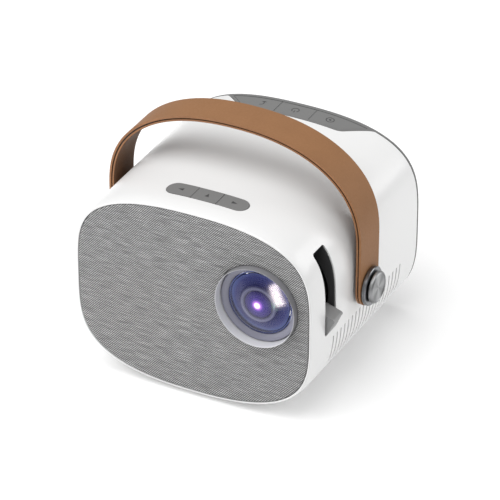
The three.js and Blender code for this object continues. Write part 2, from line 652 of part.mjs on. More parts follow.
function heatSink() {
  const { front, base, rear, half, fins, fin } = HEAT_SINK;
  const pieces = [];
  for (let i = 0; i < fins; i += 1) {
    const x = LENS.x - half + (i * (2 * half - fin)) / (fins - 1);
    pieces.push(box(x, x + fin, front + base - 0.5, rear, LENS.z - half, LENS.z + half));
  }
  const plate = box(LENS.x - half, LENS.x + half, front, front + base, LENS.z - half, LENS.z + half);
  return join(plate, ...pieces);
}

// ---- fan, speaker, board ----
function fanFrame() {
  const { x, thickness, y, z, half, bore, hub, strut, strutHalf } = FAN;
  const end = x + thickness;
  const plate = box(x, end, y - half, y + half, z - half, z + half);
  const frame = cut(plate, turnedOnX(rod(bore, x - 1, end + 1), y, z));
  const reach = half - 1;
  const level = box(end - strut, end, y - reach, y + reach, z - strutHalf, z + strutHalf);
  const upright = box(end - strut, end, y - strutHalf, y + strutHalf, z - reach, z + reach);
  return join(frame, level, upright, turnedOnX(rod(hub, end - strut, end), y, z, 24));
}

function fanRotor() {
  const { x, thickness, y, z, bore, hub, blades, bladeAngle, bladeLength, strut, gap } = FAN;
  const [from, to] = [x + gap, x + thickness - strut - 0.5];
  let rotor = turnedOnX(rod(hub, from, to), 0, 0, 28);
  const reach = turnedOnX(rod(bore - gap, from, to), 0, 0, 32);
  for (let i = 0; i < blades; i += 1) {
    const blade = new THREE.BoxGeometry(bladeLength, 1, bore - hub + 1);
    blade.rotateZ(THREE.MathUtils.degToRad(bladeAngle)).translate((from + to) / 2, 0, (bore + hub) / 2 - 1);
    blade.rotateX((2 * Math.PI * i) / blades);
    rotor = join(rotor, common(blade, reach));
  }
  return rotor.translate(0, y, z);
}

function speakerFrame() {
  const { x, z, radius, front, opening, rim, magnet, magnetFront, magnetRear, neck, neckFront } = SPEAKER;
  return turnedOnY([[opening, front], [radius, front], [radius, front + rim],
    [opening + 1.3, front + rim + 0.8], [magnet - 0.9, magnetFront], [magnet, magnetFront],
    [magnet, magnetRear], [0, magnetRear], [0, neckFront],
    [neck, neckFront], [opening, front + rim + 0.6], [opening, front]], x, z, 28);
}

function speakerCone() {
  const { x, z, front, cone, dustCap, paper } = SPEAKER;
  const [edge, throat] = [front + 1, front + 10.7];
  return turnedOnY([[0, throat - 1.3], [dustCap * 0.55, throat - 1], [dustCap, throat], [cone, edge],
    [cone, edge + paper], [dustCap + 0.2, throat + paper], [0, throat + paper]], x, z, 28);
}

const mainBoard = () => box(-BOARD.halfWidth, BOARD.halfWidth, BOARD.front, BOARD.rear, BOARD.bottom,
  BOARD.bottom + BOARD.thickness);

const socketMiddle = (socket) => BOARD.bottom + BOARD.thickness + PORT.boardGap + socket.height / 2;

function squareSocket(socket, bladeHeight) {
  const { front, rear, floor, shell } = PORT;
  const can = cut(socketBox(socket, 0, front, rear), socketBox(socket, -shell, front + floor, rear + 1));
  const middle = socketMiddle(socket);
  const half = socket.width / 2 - shell - 1.2;
  const blade = box(socket.x - half, socket.x + half, front + floor - 0.5, rear - 1,
    middle - bladeHeight / 2, middle + bladeHeight / 2);
  return join(can, blade);
}

function roundSocket(socket, bore, pin) {
  const { front, rear, floor } = PORT;
  const middle = socketMiddle(socket);
  const hole = turnedOnY(rod(bore, front + floor, rear + 1), socket.x, middle, 20);
  const shell = cut(socketBox(socket, 0, front, rear), hole);
  if (!pin) return shell;
  return join(shell, turnedOnY(rod(pin, front + 1, rear - 1.5), socket.x, middle, 10));
}

const irWindow = () => turnedOnY(rod(IR_WINDOW.radius, IR_WINDOW.front, IR_WINDOW.rear), 0, LENS.z, 20);

// ---- assembly ----
const projector = new THREE.Group();
projector.name = 'home_projector';
projector.position.set(0, -(RING.front + COVER.rear) / 2, -FOOT.bottom);

function add(name, geometry, look) {
  const mesh = new THREE.Mesh(geometry, new THREE.MeshStandardMaterial(look));
  mesh.name = name;
  projector.add(mesh);
}

add('main_shell', mainShell(), WHITE_PLASTIC);
add('front_fabric', frontFabric(), FABRIC_GREY);
add('front_carrier', frontCarrier(), DARK_PLASTIC);
add('rear_cover', rearCover(), GREY_PLASTIC);
add('key_back', rearKey(-1), GREY_PLASTIC);
add('key_power', rearKey(0), GREY_PLASTIC);
add('key_confirm', rearKey(1), GREY_PLASTIC);
add('button_previous', frontButton(-1), GREY_PLASTIC);
add('button_play', frontButton(0), GREY_PLASTIC);
add('button_next', frontButton(1), GREY_PLASTIC);
add('front_key_board', keyBoard(FRONT_KEY_BOARD, FRONT_KEY_BOARD.switchPitch, PILL.y), BOARD_GREEN);
add('rear_key_board', keyBoard(REAR_KEY_BOARD, REAR_KEY.pitch, REAR_KEY.y), BOARD_GREEN);

footPlaces.forEach(([x, y]) => {
  const name = `foot_${y < 50 ? 'front' : 'rear'}_${x < 0 ? 'left' : 'right'}`;
  add(name, foot(x, y), RUBBER);
});
add('tripod_bush', tripodBush(), BRASS);
coverScrewPlaces.forEach(([x, z]) => {
  const name = `cover_screw_${z > 0 ? 'upper' : 'lower'}_${x < 0 ? 'left' : 'right'}`;
  add(name, coverScrew(x, z), STEEL);
});

add('lens_ring', lensRing(), LENS_RING_GREY);
add('lens_trim_ring', trimRing(), LENS_RING_GREY);
add('lens_barrel', lensBarrel(), DARK_PLASTIC);
add('front_lens', frontLens(), GLASS);
add('inner_lens', innerLens(), GLASS);
add('lens_holder', lensHolder(), DARK_PLASTIC);
add('focus_ring', focusRing(), DARK_PLASTIC);
add('focus_lever', focusLever(), LENS_RING_GREY);
add('slot_liner', slotLiner(), DARK_PLASTIC);

add('optical_housing', opticalHousing(), DARK_PLASTIC);
add('front_fresnel', enginePlate(46, 47.5), GLASS);
add('lcd_panel', enginePlate(51, 53), GLASS);
add('rear_fresnel', enginePlate(57, 58.5), GLASS);
add('light_tunnel', lightTunnel(), ALUMINIUM);
add('led_board', ledBoard(), ALUMINIUM);
add('heat_sink', heatSink(), ALUMINIUM);

add('fan_frame', fanFrame(), DARK_PLASTIC);
add('fan_rotor', fanRotor(), DARK_PLASTIC);
add('speaker_frame', speakerFrame(), STEEL);
add('speaker_cone', speakerCone(), CONE_PAPER);
add('main_board', mainBoard(), BOARD_GREEN);
add('dc_socket', roundSocket(SOCKETS.dc, 3, 0.8), DARK_PLASTIC);
add('hdmi_socket', squareSocket(SOCKETS.hdmi, 1.2), STEEL);
add('usb_socket', squareSocket(SOCKETS.usb, 1.8), STEEL);
add('audio_socket', roundSocket(SOCKETS.audio, 1.8, 0), DARK_PLASTIC);
add('ir_window', irWindow(), DARK_PLASTIC);

add('strap_outer', strapLayer(LAYERS.outer), LEATHER);
add('strap_core', strapLayer(LAYERS.core, LAYERS.coreInset), STEEL);
add('strap_lining', strapLayer(LAYERS.inner), LINING);
for (const [side, word] of [[-1, 'left'], [1, 'right']]) {
  add(`pivot_spacer_${word}`, pivotSpacer(side), DARK_PLASTIC);
  add(`pivot_flange_${word}`, pivotFlange(side), STEEL);
  add(`pivot_pin_${word}`, pivotPin(side), STEEL);
  add(`pivot_nut_${word}`, pivotNut(side), BRASS);
  add(`knob_${word}`, knob(side), CHROME);
}

export default projector;
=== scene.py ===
import math

import bmesh
import bpy
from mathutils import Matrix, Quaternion, Vector


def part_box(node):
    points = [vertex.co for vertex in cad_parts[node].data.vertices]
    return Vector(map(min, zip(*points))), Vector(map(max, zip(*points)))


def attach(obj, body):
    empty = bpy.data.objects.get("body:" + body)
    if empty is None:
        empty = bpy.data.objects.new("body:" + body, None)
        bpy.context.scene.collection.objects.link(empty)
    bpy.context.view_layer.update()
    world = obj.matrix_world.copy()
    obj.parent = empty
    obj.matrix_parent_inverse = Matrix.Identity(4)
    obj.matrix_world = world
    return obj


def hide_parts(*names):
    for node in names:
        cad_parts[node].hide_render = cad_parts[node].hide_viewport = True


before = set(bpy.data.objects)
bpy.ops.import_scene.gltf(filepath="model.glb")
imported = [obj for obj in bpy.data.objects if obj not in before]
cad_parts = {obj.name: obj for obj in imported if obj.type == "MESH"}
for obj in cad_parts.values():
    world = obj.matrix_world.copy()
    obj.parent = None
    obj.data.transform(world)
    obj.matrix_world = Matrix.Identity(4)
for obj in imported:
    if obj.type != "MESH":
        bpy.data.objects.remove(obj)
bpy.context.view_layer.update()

# Shapes below are drawn in millimetres from the middle of the fabric's face: x to the lens side,
# y backwards, z up. ORIGIN is that point in the row frame.
MM = 0.001
CLOTH_LOW, CLOTH_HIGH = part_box("front_fabric")
ORIGIN = Vector((0, CLOTH_LOW[1], (CLOTH_LOW[2] + CLOTH_HIGH[2]) / 2))


def extent(node):
    low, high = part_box(node)
    return (Vector(low) - ORIGIN) / MM, (Vector(high) - ORIGIN) / MM


def centre(node):
    low, high = extent(node)
    return (low + high) / 2


# ------------------------ driving sizes

CLOTH = extent("front_fabric")
SHELL = extent("main_shell")
COVER = extent("rear_cover")
CLOTH_INSET = 0.9
HALF_WIDTH, HALF_HEIGHT = CLOTH[1].x + CLOTH_INSET, CLOTH[1].z + CLOTH_INSET
SIDE_POWER, TOP_POWER, BOTTOM_POWER = 2.489, 3.924, 3.587
LIP_END, FRONT_GROWTH = 3.9, 0.94
REAR_GROWTH = 1.88
WALL = 2.2
COLUMNS = 192

LENS = centre("lens_ring")
PIVOT = centre("knob_right")
INNER_LENS_RADIUS = 6.6
LENS_HOLE = 20.5
PILL = extent("button_previous")[0], extent("button_next")[1]
TOP_KEYS = tuple((f"button_{word}", f"{word}_button") for word in ("previous", "play", "next"))
REAR_KEYS = tuple((f"key_{word}", f"{word}_key") for word in ("back", "power", "confirm"))
KEY_PITCH = 18.2
TONGUE_FRONT, TONGUE_HALF, TONGUE_BORDER = 98.0, 26.0, 1.3


# ------------------------ mesh making

def new_object(name, vertices, faces):
    mesh = bpy.data.meshes.new(name)
    mesh.from_pydata([ORIGIN + Vector(v) * MM for v in vertices], [], faces)
    obj = bpy.data.objects.new(name, mesh)
    bpy.context.scene.collection.objects.link(obj)
    tidy = bmesh.new()
    tidy.from_mesh(mesh)
    bmesh.ops.remove_doubles(tidy, verts=tidy.verts, dist=1e-7)
    bmesh.ops.recalc_face_normals(tidy, faces=tidy.faces)
    tidy.to_mesh(mesh)
    tidy.free()
    return obj


def joined(objects):
    first, *rest = objects
    whole = bmesh.new()
    for obj in objects:
        whole.from_mesh(obj.data)
    whole.to_mesh(first.data)
    whole.free()
    for obj in rest:
        bpy.data.objects.remove(obj)
    return first


def boolean(target, tools, operation="DIFFERENCE"):
    tool = joined(list(tools))
    step = target.modifiers.new("step", "BOOLEAN")
    step.operation = operation
    step.solver = "EXACT"
    step.object = tool
    graph = bpy.context.evaluated_depsgraph_get()
    mesh = bpy.data.meshes.new_from_object(target.evaluated_get(graph))
    target.modifiers.clear()
    target.data = mesh
    bpy.data.objects.remove(tool)
    return target


def bevelled(obj, width, segments=2, angle=40):
    bevel = obj.modifiers.new("edges", "BEVEL")
    bevel.width = width * MM
    bevel.segments = segments
    bevel.limit_method = "ANGLE"
    bevel.angle_limit = math.radians(angle)
    return bevel


def soften(obj, width, segments=2, angle=40):
    """Rounds the sharp edges by `width` millimetres and shades the rest smooth."""
    obj.data.shade_smooth()
    bevelled(obj, width, segments, angle).harden_normals = True
    normals = obj.modifiers.new("normals", "WEIGHTED_NORMAL")
    normals.keep_sharp = True
    return obj


def smooth(obj, angle=32):
    obj.data.shade_smooth()
    obj.data.set_sharp_from_angle(angle=math.radians(angle))
    return obj


def swept(name, vertices, rings):
    """A solid whose surface runs from ring to ring and back to the first."""
    faces = []
    for one, two in zip(rings, rings[1:] + rings[:1]):
        faces += strip(one, two)
    return new_object(name, vertices, faces)


def turned(name, profile, middle, axis="y", sides=96):
    """A solid of revolution. Each profile point is (radius, place along the axis)."""
    vertices, rings = [], []
    for radius, along in profile:
        count = 1 if radius == 0 else sides
        rings.append([len(vertices) + i for i in range(count)])
        for i in range(count):
            a = 2 * math.pi * i / sides
            u, v = radius * math.cos(a), radius * math.sin(a)
            place = {"x": (along, u, v), "y": (u, along, v), "z": (u, v, along)}[axis]
            vertices.append(Vector(middle) + Vector(place))
    return swept(name, vertices, rings)


def rod(radius, start, end, middle, axis="y", sides=24):
    """A plain round bar between two places along its axis, to be joined on or cut out."""
    return turned("rod", [(0, start), (radius, start), (radius, end), (0, end)], middle, axis, sides)


def strip(one, two):
    """The faces between two rings, either of which may be a single point."""
    count = max(len(one), len(two))
    if len(one) == 1 and len(two) == 1:
        return []
    faces = []
    for i in range(count):
        j = (i + 1) % count
        corners = [one[i % len(one)], one[j % len(one)], two[j % len(two)], two[i % len(two)]]
        faces.append(list(dict.fromkeys(corners)))
    return faces


def prism(name, outline, plane, start, end):
    """An outline of (a, b) points in the plane `xz`, `xy` or `yz`, extruded along the third axis."""
    place = {
        "xz": lambda a, b, c: (a, c, b),
        "xy": lambda a, b, c: (a, b, c),
        "yz": lambda a, b, c: (c, a, b),
    }[plane]
    vertices = [place(a, b, c) for c in (start, end) for a, b in outline]
    n = len(outline)
    near, far = list(range(n)), list(range(n, 2 * n))
    return new_object(name, vertices, [near, far[::-1], *strip(near, far)])


def block(name, low, high):
    (x0, y0, z0), (x1, y1, z1) = low, high
    return prism(name, [(x0, y0), (x1, y0), (x1, y1), (x0, y1)], "xy", z0, z1)


def on_circle(middle, radius, degrees):
    a = math.radians(degrees)
    return middle[0] + radius * math.cos(a), middle[1] + radius * math.sin(a)


def arc(middle, radius, start, end, steps=8):
    """Points on a circular arc, angles in degrees."""
    return [on_circle(middle, radius, start + (end - start) * i / steps) for i in range(steps + 1)]


def rounded_rectangle(a0, a1, b0, b1, r, steps=8):
    middles = (a1 - r, b0 + r), (a1 - r, b1 - r), (a0 + r, b1 - r), (a0 + r, b0 + r)
    corners = (arc(middle, r, start, start + 90, steps) for middle, start in zip(middles, (-90, 0, 90, 180)))
    return [point for corner in corners for point in corner]


# ------------------------ the body's outline

def power(value, exponent):
    return math.copysign(abs(value) ** exponent, value)


def outline_point(angle, growth):
    c, s = math.cos(angle), math.sin(angle)
    upright = TOP_POWER if s > 0 else BOTTOM_POWER
    x = (HALF_WIDTH + growth) * power(c, 2 / SIDE_POWER)
    z = (HALF_HEIGHT + growth) * power(s, 2 / upright)
    return x, z


def even_angles(count, fine=6000):
    """Angles whose outline points lie at equal distances along the outline."""
    angles = [2 * math.pi * i / fine for i in range(fine + 1)]
    points = [outline_point(a, 0) for a in angles]
    lengths = [0.0]
    for (x0, z0), (x1, z1) in zip(points, points[1:]):
        lengths.append(lengths[-1] + math.hypot(x1 - x0, z1 - z0))
    chosen, k = [], 0
    for i in range(count):
        while lengths[k] < lengths[-1] * i / count:
            k += 1
        chosen.append(angles[k])
    return chosen


ANGLES = even_angles(COLUMNS)
AXIS = None


def outlined(name, section):
    """A closed section of (growth past the outline, y) points swept round the outline."""
    vertices, rings = [], []
    for growth, y in section:
        if growth is AXIS:
            rings.append([len(vertices)])
            vertices.append((0, y, 0))
            continue
        rings.append([len(vertices) + i for i in range(COLUMNS)])
        for angle in ANGLES:
            x, z = outline_point(angle, growth)
            vertices.append((x, y, z))
    return swept(name, vertices, rings)


def outline_area(growth):
    points = [outline_point(angle, growth) for angle in ANGLES]
    pairs = zip(points, points[1:] + points[:1])
    return sum(x0 * z1 - x1 * z0 for (x0, z0), (x1, z1) in pairs) / 2


def shell_growth(y):
    share = (y - LIP_END) / (SHELL[1].y - LIP_END)
    return FRONT_GROWTH + (REAR_GROWTH - FRONT_GROWTH) * share


def body_solid(more, y0, y1):
    steps = max(2, round((y1 - y0) / 6))
    stations = [y0 + (y1 - y0) * i / steps for i in range(steps + 1)]
    section = [(shell_growth(y) + more, y) for y in stations]
    return outlined("body_solid", [(AXIS, y0), *section, (AXIS, y1)])


def top_height(x, y, more=0.0):
    """Height of the shell's top surface over a point, moved out by `more`."""
    growth = shell_growth(y) + more
    share = (abs(x) / (HALF_WIDTH + growth)) ** SIDE_POWER
    return (HALF_HEIGHT + growth) * (1 - share) ** (1 / TOP_POWER)


# ------------------------ materials

class Look:
    """A procedural material on the piece's own coordinates, which are counted in millimetres."""

    def __init__(self, name, color, roughness, metallic=0.0):
        self.material = bpy.data.materials.new(name)
        self.material.use_nodes = True
        self.tree = self.material.node_tree
        self.shader = self.tree.nodes["Principled BSDF"]
        self.set("Base Color", (*color, 1))
        self.set("Roughness", roughness)
        self.set("Metallic", metallic)
        where = self.node("ShaderNodeTexCoord")
        scale = self.node("ShaderNodeVectorMath", {"Scale": 1 / MM}, operation="SCALE")
        self.link(where.outputs["Object"], scale.inputs[0])
        self.place = scale.outputs[0]

    def node(self, kind, values=None, vector=None, **settings):
        """A new node: its settings, the values of its inputs, and what feeds its vector input."""
        made = self.tree.nodes.new(kind)
        for key, value in settings.items():
            setattr(made, key, value)
        for socket, value in (values or {}).items():
            made.inputs[socket].default_value = value
        if vector:
            self.link(vector, made.inputs["Vector"])
        return made

    def link(self, output, socket):
        self.tree.links.new(output, socket)

    def feed(self, socket, value):
        """Gives a node's input a number, a colour or another node's output."""
        if isinstance(value, (int, float)):
            socket.default_value = value
        elif isinstance(value, tuple):
            socket.default_value = (*value, 1)
        else:
            self.link(value, socket)

    def set(self, socket, value):
        self.shader.inputs[socket].default_value = value

    def stretched(self, scale, source=None):
        return self.node("ShaderNodeMapping", {"Scale": scale}, source or self.place).outputs["Vector"]

    def split(self, vector):
        parts = self.node("ShaderNodeSeparateXYZ")
        self.link(vector, parts.inputs[0])
        return parts.outputs

    def vector(self, operation, one, two):
        """Vector arithmetic; `two` is a constant."""
        made = self.node("ShaderNodeVectorMath", {1: two}, operation=operation)
        self.link(one, made.inputs[0])
        return made

    def wave(self, value, pitch):
        return self.math("SINE", self.math("MULTIPLY", value, 2 * math.pi / pitch))

    def glow(self, color, strength):
        """Light of its own, which isn't sampled as a lamp."""
        self.link(color, self.shader.inputs["Emission Color"])
        self.set("Emission Strength", strength)
        self.material.cycles.emission_sampling = "NONE"

    def noise(self, scale, detail=3, source=None, roughness=0.55):
        values = {"Scale": scale, "Detail": detail, "Roughness": roughness}
        return self.node("ShaderNodeTexNoise", values, source or self.place).outputs["Fac"]

    def cells(self, scale):
        return self.node("ShaderNodeTexVoronoi", {"Scale": scale}, self.place).outputs["Distance"]

    def math(self, operation, *values, clamp=False):
        made = self.node("ShaderNodeMath", operation=operation, use_clamp=clamp)
        for socket, value in zip(made.inputs, values):
            self.feed(socket, value)
        return made.outputs[0]

    def ramp(self, factor, stops):
        made = self.node("ShaderNodeValToRGB")
        elements = made.color_ramp.elements
        while len(elements) < len(stops):
            elements.new(0.5)
        for element, (position, color) in zip(elements, stops):
            element.position = position
            element.color = (*color, 1)
        self.link(factor, made.inputs["Fac"])
        return made.outputs["Color"]

    def mix(self, factor, one, two, blend="MIX"):
        made = self.node("ShaderNodeMix", data_type="RGBA", blend_type=blend)
        for index, value in ((0, factor), (6, one), (7, two)):
            self.feed(made.inputs[index], value)
        return made.outputs[2]

    def range(self, value, low, high):
        made = self.node("ShaderNodeMapRange", {"To Min": low, "To Max": high})
        self.link(value, made.inputs["Value"])
        return made.outputs["Result"]

    def color(self, output):
        self.link(output, self.shader.inputs["Base Color"])

    def rough(self, factor, low, high):
        self.link(self.range(factor, low, high), self.shader.inputs["Roughness"])

    def bump(self, height, depth, strength=1.0):
        """Surface relief, `depth` millimetres from the lowest to the highest value."""
        made = self.node("ShaderNodeBump", {"Strength": strength, "Distance": depth * MM})
        self.link(height, made.inputs["Height"])
        if self.shader.inputs["Normal"].is_linked:
            self.link(self.shader.inputs["Normal"].links[0].from_socket, made.inputs["Normal"])
        self.link(made.outputs["Normal"], self.shader.inputs["Normal"])


def shaded(color, change):
    return tuple(c * change for c in color)


def grey(value):
    return value, value, value


def moulded_plastic(name, color, roughness, grain=0.012, spread=0.05, coat=0.0):
    """Moulded plastic: a fine spark-eroded grain, slow tone changes and a little uneven gloss."""
    look = Look(name, color, roughness)
    slow = look.noise(0.035, 3)
    fine = look.noise(2.6, 2)
    look.color(look.mix(slow, shaded(color, 1 - spread), shaded(color, 1 + spread)))
    look.rough(look.noise(0.25, 4), roughness - 0.05, roughness + 0.06)
    look.bump(fine, grain)
    look.set("Coat Weight", coat)
    look.set("Coat Roughness", 0.18)
    return look.material


def cloth_weave():
    """Heathered 2/2 twill: pale weft over dark warp in fine diagonal wales, with slubs along the weft."""
    pitch = 0.27
    wale_pitch = 4 * pitch
    look = Look("cloth_weave", (0.26, 0.26, 0.257), 0.95)
    wander = look.node("ShaderNodeTexNoise", {"Scale": 0.3, "Detail": 2}, look.place)
    shift = look.vector("MULTIPLY_ADD", wander.outputs["Color"], (0.35, 0, 0.35))
    look.link(look.place, shift.inputs[2])
    parts = look.split(shift.outputs[0])
    slant = look.math("SUBTRACT", parts["X"], look.math("MULTIPLY", parts["Z"], 0.9))
    weft_share = look.math("MULTIPLY_ADD", look.wave(slant, wale_pitch), 1.1, 0.5, clamp=True)
    warp_round = look.math("ABSOLUTE", look.wave(parts["X"], 2 * pitch))
    weft_round = look.math("ABSOLUTE", look.wave(parts["Z"], 2 * pitch))
    slub = look.noise(1.0, 3, look.stretched((0.1, 0, 1.9), shift.outputs[0]), 0.65)
    fleck = look.noise(1.0, 2, look.stretched((1.6, 0, 1.6), shift.outputs[0]), 0.6)
    weft = look.ramp(slub, [(0.36, grey(0.29)), (0.5, grey(0.47)), (0.64, grey(0.7))])
    warp = look.ramp(fleck, [(0.35, grey(0.03)), (0.5, grey(0.075)), (0.66, grey(0.16))])
    rounded = look.math("ADD", look.math("MULTIPLY", weft_round, weft_share),
                        look.math("MULTIPLY", warp_round, look.math("SUBTRACT", 1.0, weft_share)))
    shade = look.ramp(rounded, [(0.0, grey(0.72)), (0.6, grey(1))])
    look.color(look.mix(1.0, look.mix(weft_share, warp, weft), shade, "MULTIPLY"))
    look.bump(look.math("ADD", rounded, look.math("MULTIPLY", weft_share, 0.6)), 0.1, 0.9)
    look.set("Sheen Weight", 0.15)
    look.set("Sheen Roughness", 0.5)
    return look.material


def leather(name, color, depth=0.05):
    """Smooth full-grain leather: small pores, creases and warm tone changes."""
    look = Look(name, color, 0.5)
    slow = look.noise(0.05, 4)
    pores = look.cells(1.9)
    fibre = look.noise(1.1, 5)
    warm = look.mix(slow, shaded(color, 0.86), shaded(color, 1.12))
    look.color(look.mix(look.math("MULTIPLY", fibre, 0.35), warm, shaded(color, 0.62)))
    look.rough(fibre, 0.42, 0.68)
    look.bump(look.math("ADD", pores, look.math("MULTIPLY", fibre, 0.5)), depth, 0.55)
    look.set("Specular IOR Level", 0.14)
    return look.material


def painted_edge():
    """The burnished, painted cut edge of the leather."""
    color = (0.3, 0.13, 0.048)
    look = Look("painted_edge", color, 0.4)
    streaks = look.noise(1.0, 3, look.stretched((0.3, 4.0, 0.3)))
    look.color(look.mix(streaks, shaded(color, 0.7), shaded(color, 1.25)))
    look.rough(look.noise(0.8, 3), 0.3, 0.5)
    look.bump(look.noise(2.0, 3), 0.04, 0.6)
    return look.material


ALONG = {"x": (1, 0, 0), "y": (0, 1, 0), "z": (0, 0, 1)}
ACROSS = {"x": (0, 1, 1), "y": (1, 0, 1), "z": (1, 1, 0)}


def from_axis(look, axis, middle):
    """Where a point is from `middle`: its offset, the part square to the axis, and that part's length."""
    offset = look.vector("SUBTRACT", look.place, (ORIGIN + Vector(middle) * MM) / MM).outputs[0]
    flat = look.vector("MULTIPLY", offset, ACROSS[axis]).outputs[0]
    distance = look.node("ShaderNodeVectorMath", operation="LENGTH")
    look.link(flat, distance.inputs[0])
    return offset, flat, distance.outputs["Value"]


def turned_metal(name, color, roughness, axis, middle, pitch=0.22, depth=0.004, painted_wedges=0.0):
    """Metal off a lathe: fine rings round the axis through `middle`, and if asked a painted highlight: its
    colour turns lighter and darker in wedge-shaped sectors round the axis, like the bow-tie reflection on
    spun metal.
    """
    look = Look(name, color, roughness, 1.0)
    offset, flat, radius = from_axis(look, axis, middle)
    look.bump(look.wave(radius, pitch), depth, 0.7)
    tone = look.noise(0.4, 3)
    look.rough(look.noise(1.5, 3), roughness - 0.04, roughness + 0.07)
    if painted_wedges:
        # painted highlight: the colour turns lighter and darker by the angle round the axis
        parts = look.split(offset)
        angle = look.math("ARCTAN2", parts["Y"], parts["Z"])
        twofold, fourfold = (look.math("COSINE", look.math("MULTIPLY", angle, n)) for n in (2.0, 4.0))
        painted_rays = look.math("MULTIPLY_ADD", fourfold, 0.3, look.math("MULTIPLY_ADD", twofold, 0.12, 0.5))
        tone = look.math("ADD", look.math("MULTIPLY", painted_rays, painted_wedges), look.math("MULTIPLY", tone, 1 - painted_wedges))
        look.set("Anisotropic", 0.7)
        tangent = look.vector("CROSS_PRODUCT", flat, ALONG[axis])
        look.link(tangent.outputs[0], look.shader.inputs["Tangent"])
    spread = 0.07 + 0.55 * painted_wedges
    look.color(look.mix(tone, shaded(color, 1 - spread), shaded(color, 1 + spread)))
    return look.material


def plain_metal(name, color, roughness, scale=(1, 1, 1)):
    """Drawn or cast metal with faint marks along one direction."""
    look = Look(name, color, roughness, 1.0)
    marks = look.noise(1.0, 4, look.stretched(scale))
    look.color(look.mix(marks, shaded(color, 0.82), shaded(color, 1.1)))
    look.rough(marks, roughness - 0.06, roughness + 0.1)
    look.bump(marks, 0.01, 0.6)
    return look.material


def coated_glass(name, tint, shine):
    """Optical glass with a soft coating; `shine` is the colour that the glass itself reflects."""
    look = Look(name, tint, 0.03)
    look.set("Transmission Weight", 1.0)
    look.set("IOR", 1.45)
    look.set("Specular Tint", (*shine, 1))
    look.set("Coat Weight", 0.12)
    look.set("Coat Roughness", 0.18)
    look.rough(look.noise(0.3, 3), 0.0, 0.004)
    return look.material


def circuit_board():
    """Green solder mask over copper tracks, with pale pads."""
    color = (0.012, 0.09, 0.04)
    look = Look("circuit_board", color, 0.4)
    tracks = look.node("ShaderNodeTexBrick", {
        "Scale": 0.35, "Mortar Size": 0.05, "Brick Width": 1.6, "Row Height": 0.4, "Color1": (*color, 1),
        "Color2": (*shaded(color, 1.25), 1), "Mortar": (0.03, 0.2, 0.08, 1),
    }, look.place)
    pads = look.math("LESS_THAN", look.cells(0.4), 0.18)
    look.color(look.mix(pads, tracks.outputs["Color"], (0.55, 0.5, 0.4)))
    look.bump(tracks.outputs["Fac"], 0.02, 0.5)
    return look.material


def lens_radius(look, unit):
    """Distance from the lens axis, in units of so many millimetres."""
    return look.math("DIVIDE", from_axis(look, "y", LENS)[2], unit)


def glowing_barrel():
    """The barrel's anodised baffles: deep blue, with a lilac ring round the inner lens and a paler blue band
    towards the rim. The same colours also glow: painted light that stands in for the light inside the
    barrel.
    """
    look = Look("glowing_barrel", (0.02, 0.02, 0.05), 0.34)
    look.set("Specular IOR Level", 0.1)
    tone = look.ramp(lens_radius(look, 18.0), [
        (0.38, (0.1, 0.095, 0.14)), (0.45, (0.2, 0.2, 0.28)), (0.49, (0.08, 0.08, 0.14)),
        (0.5, (0.03, 0.03, 0.1)), (0.7, (0.05, 0.055, 0.17)), (0.82, (0.12, 0.15, 0.32)),
        (0.88, (0.03, 0.03, 0.07)),
    ])
    look.color(tone)
    # painted light: the barrel glows in its own colours, though it is no lamp
    look.glow(tone, 0.5)
    look.rough(look.noise(0.6, 3), 0.26, 0.42)
    return look.material


def glowing_inner_lens():
    """The small inner lens, painted as if lit from behind: all its colour is glow, white in the middle,
    violet towards its edge, with faint rings.
    """
    look = Look("glowing_inner_lens", (0.05, 0.03, 0.16), 0.3)
    # painted light: the lamp's glow through the lens is emitted by the lens itself
    look.glow(look.ramp(lens_radius(look, INNER_LENS_RADIUS), [
        (0.0, (1, 0.95, 1)), (0.17, (1.0, 0.8, 1.0)), (0.27, (0.36, 0.12, 0.45)),
        (0.42, (0.05, 0.02, 0.17)), (0.56, (0.02, 0.01, 0.1)), (0.6, (0.004, 0.003, 0.03)),
        (0.68, (0.02, 0.01, 0.09)), (0.8, (0.006, 0.004, 0.04)), (0.97, (0.002, 0.002, 0.015)),
    ]), 1.6)
    look.rough(look.noise(0.5, 2), 0.25, 0.35)
    return look.material


WHITE = moulded_plastic("white_plastic", (0.76, 0.76, 0.758), 0.3, 0.006, 0.012, 0.25)
GREY = moulded_plastic("grey_plastic", (0.165, 0.165, 0.163), 0.42, 0.02, 0.05)
KEY_GREY = moulded_plastic("key_grey", (0.17, 0.17, 0.168), 0.5, 0.02, 0.05)
BLACK = moulded_plastic("black_plastic", (0.018, 0.018, 0.019), 0.45, 0.02, 0.12)
LENS_GREY = moulded_plastic("lens_grey", (0.72, 0.72, 0.745), 0.32, 0.008, 0.03, 0.15)
# a darker copy of the lens grey: painted shade on the ring's lip and outer wall
RING_OUTER_SHADE = moulded_plastic("ring_outer_shade_painted", (0.2, 0.198, 0.21), 0.36, 0.008, 0.03, 0.1)
LINER_BLACK = moulded_plastic("liner_black", (0.034, 0.034, 0.035), 0.5, 0.02, 0.12)
TRIM_GREY = moulded_plastic("trim_grey", (0.225, 0.225, 0.285), 0.38, 0.008, 0.04, 0.1)
LEVER_GREY = moulded_plastic("lever_grey", grey(0.24), 0.42, 0.02, 0.05)
RUBBER = moulded_plastic("rubber", grey(0.02), 0.8, 0.05, 0.15)
PRINT = moulded_plastic("print_ink", grey(0.045), 0.5, 0.01, 0.1)
PAPER = moulded_plastic("cone_paper", (0.015, 0.015, 0.016), 0.85, 0.06, 0.2)
CLOTH_LOOK = cloth_weave()
TAN = leather("tan_leather", (0.29, 0.145, 0.068))
LINING = leather("lining_leather", (0.15, 0.075, 0.038))
EDGE = painted_edge()
GLASS = coated_glass("front_glass", (0.9, 0.91, 1.0), grey(0.0))
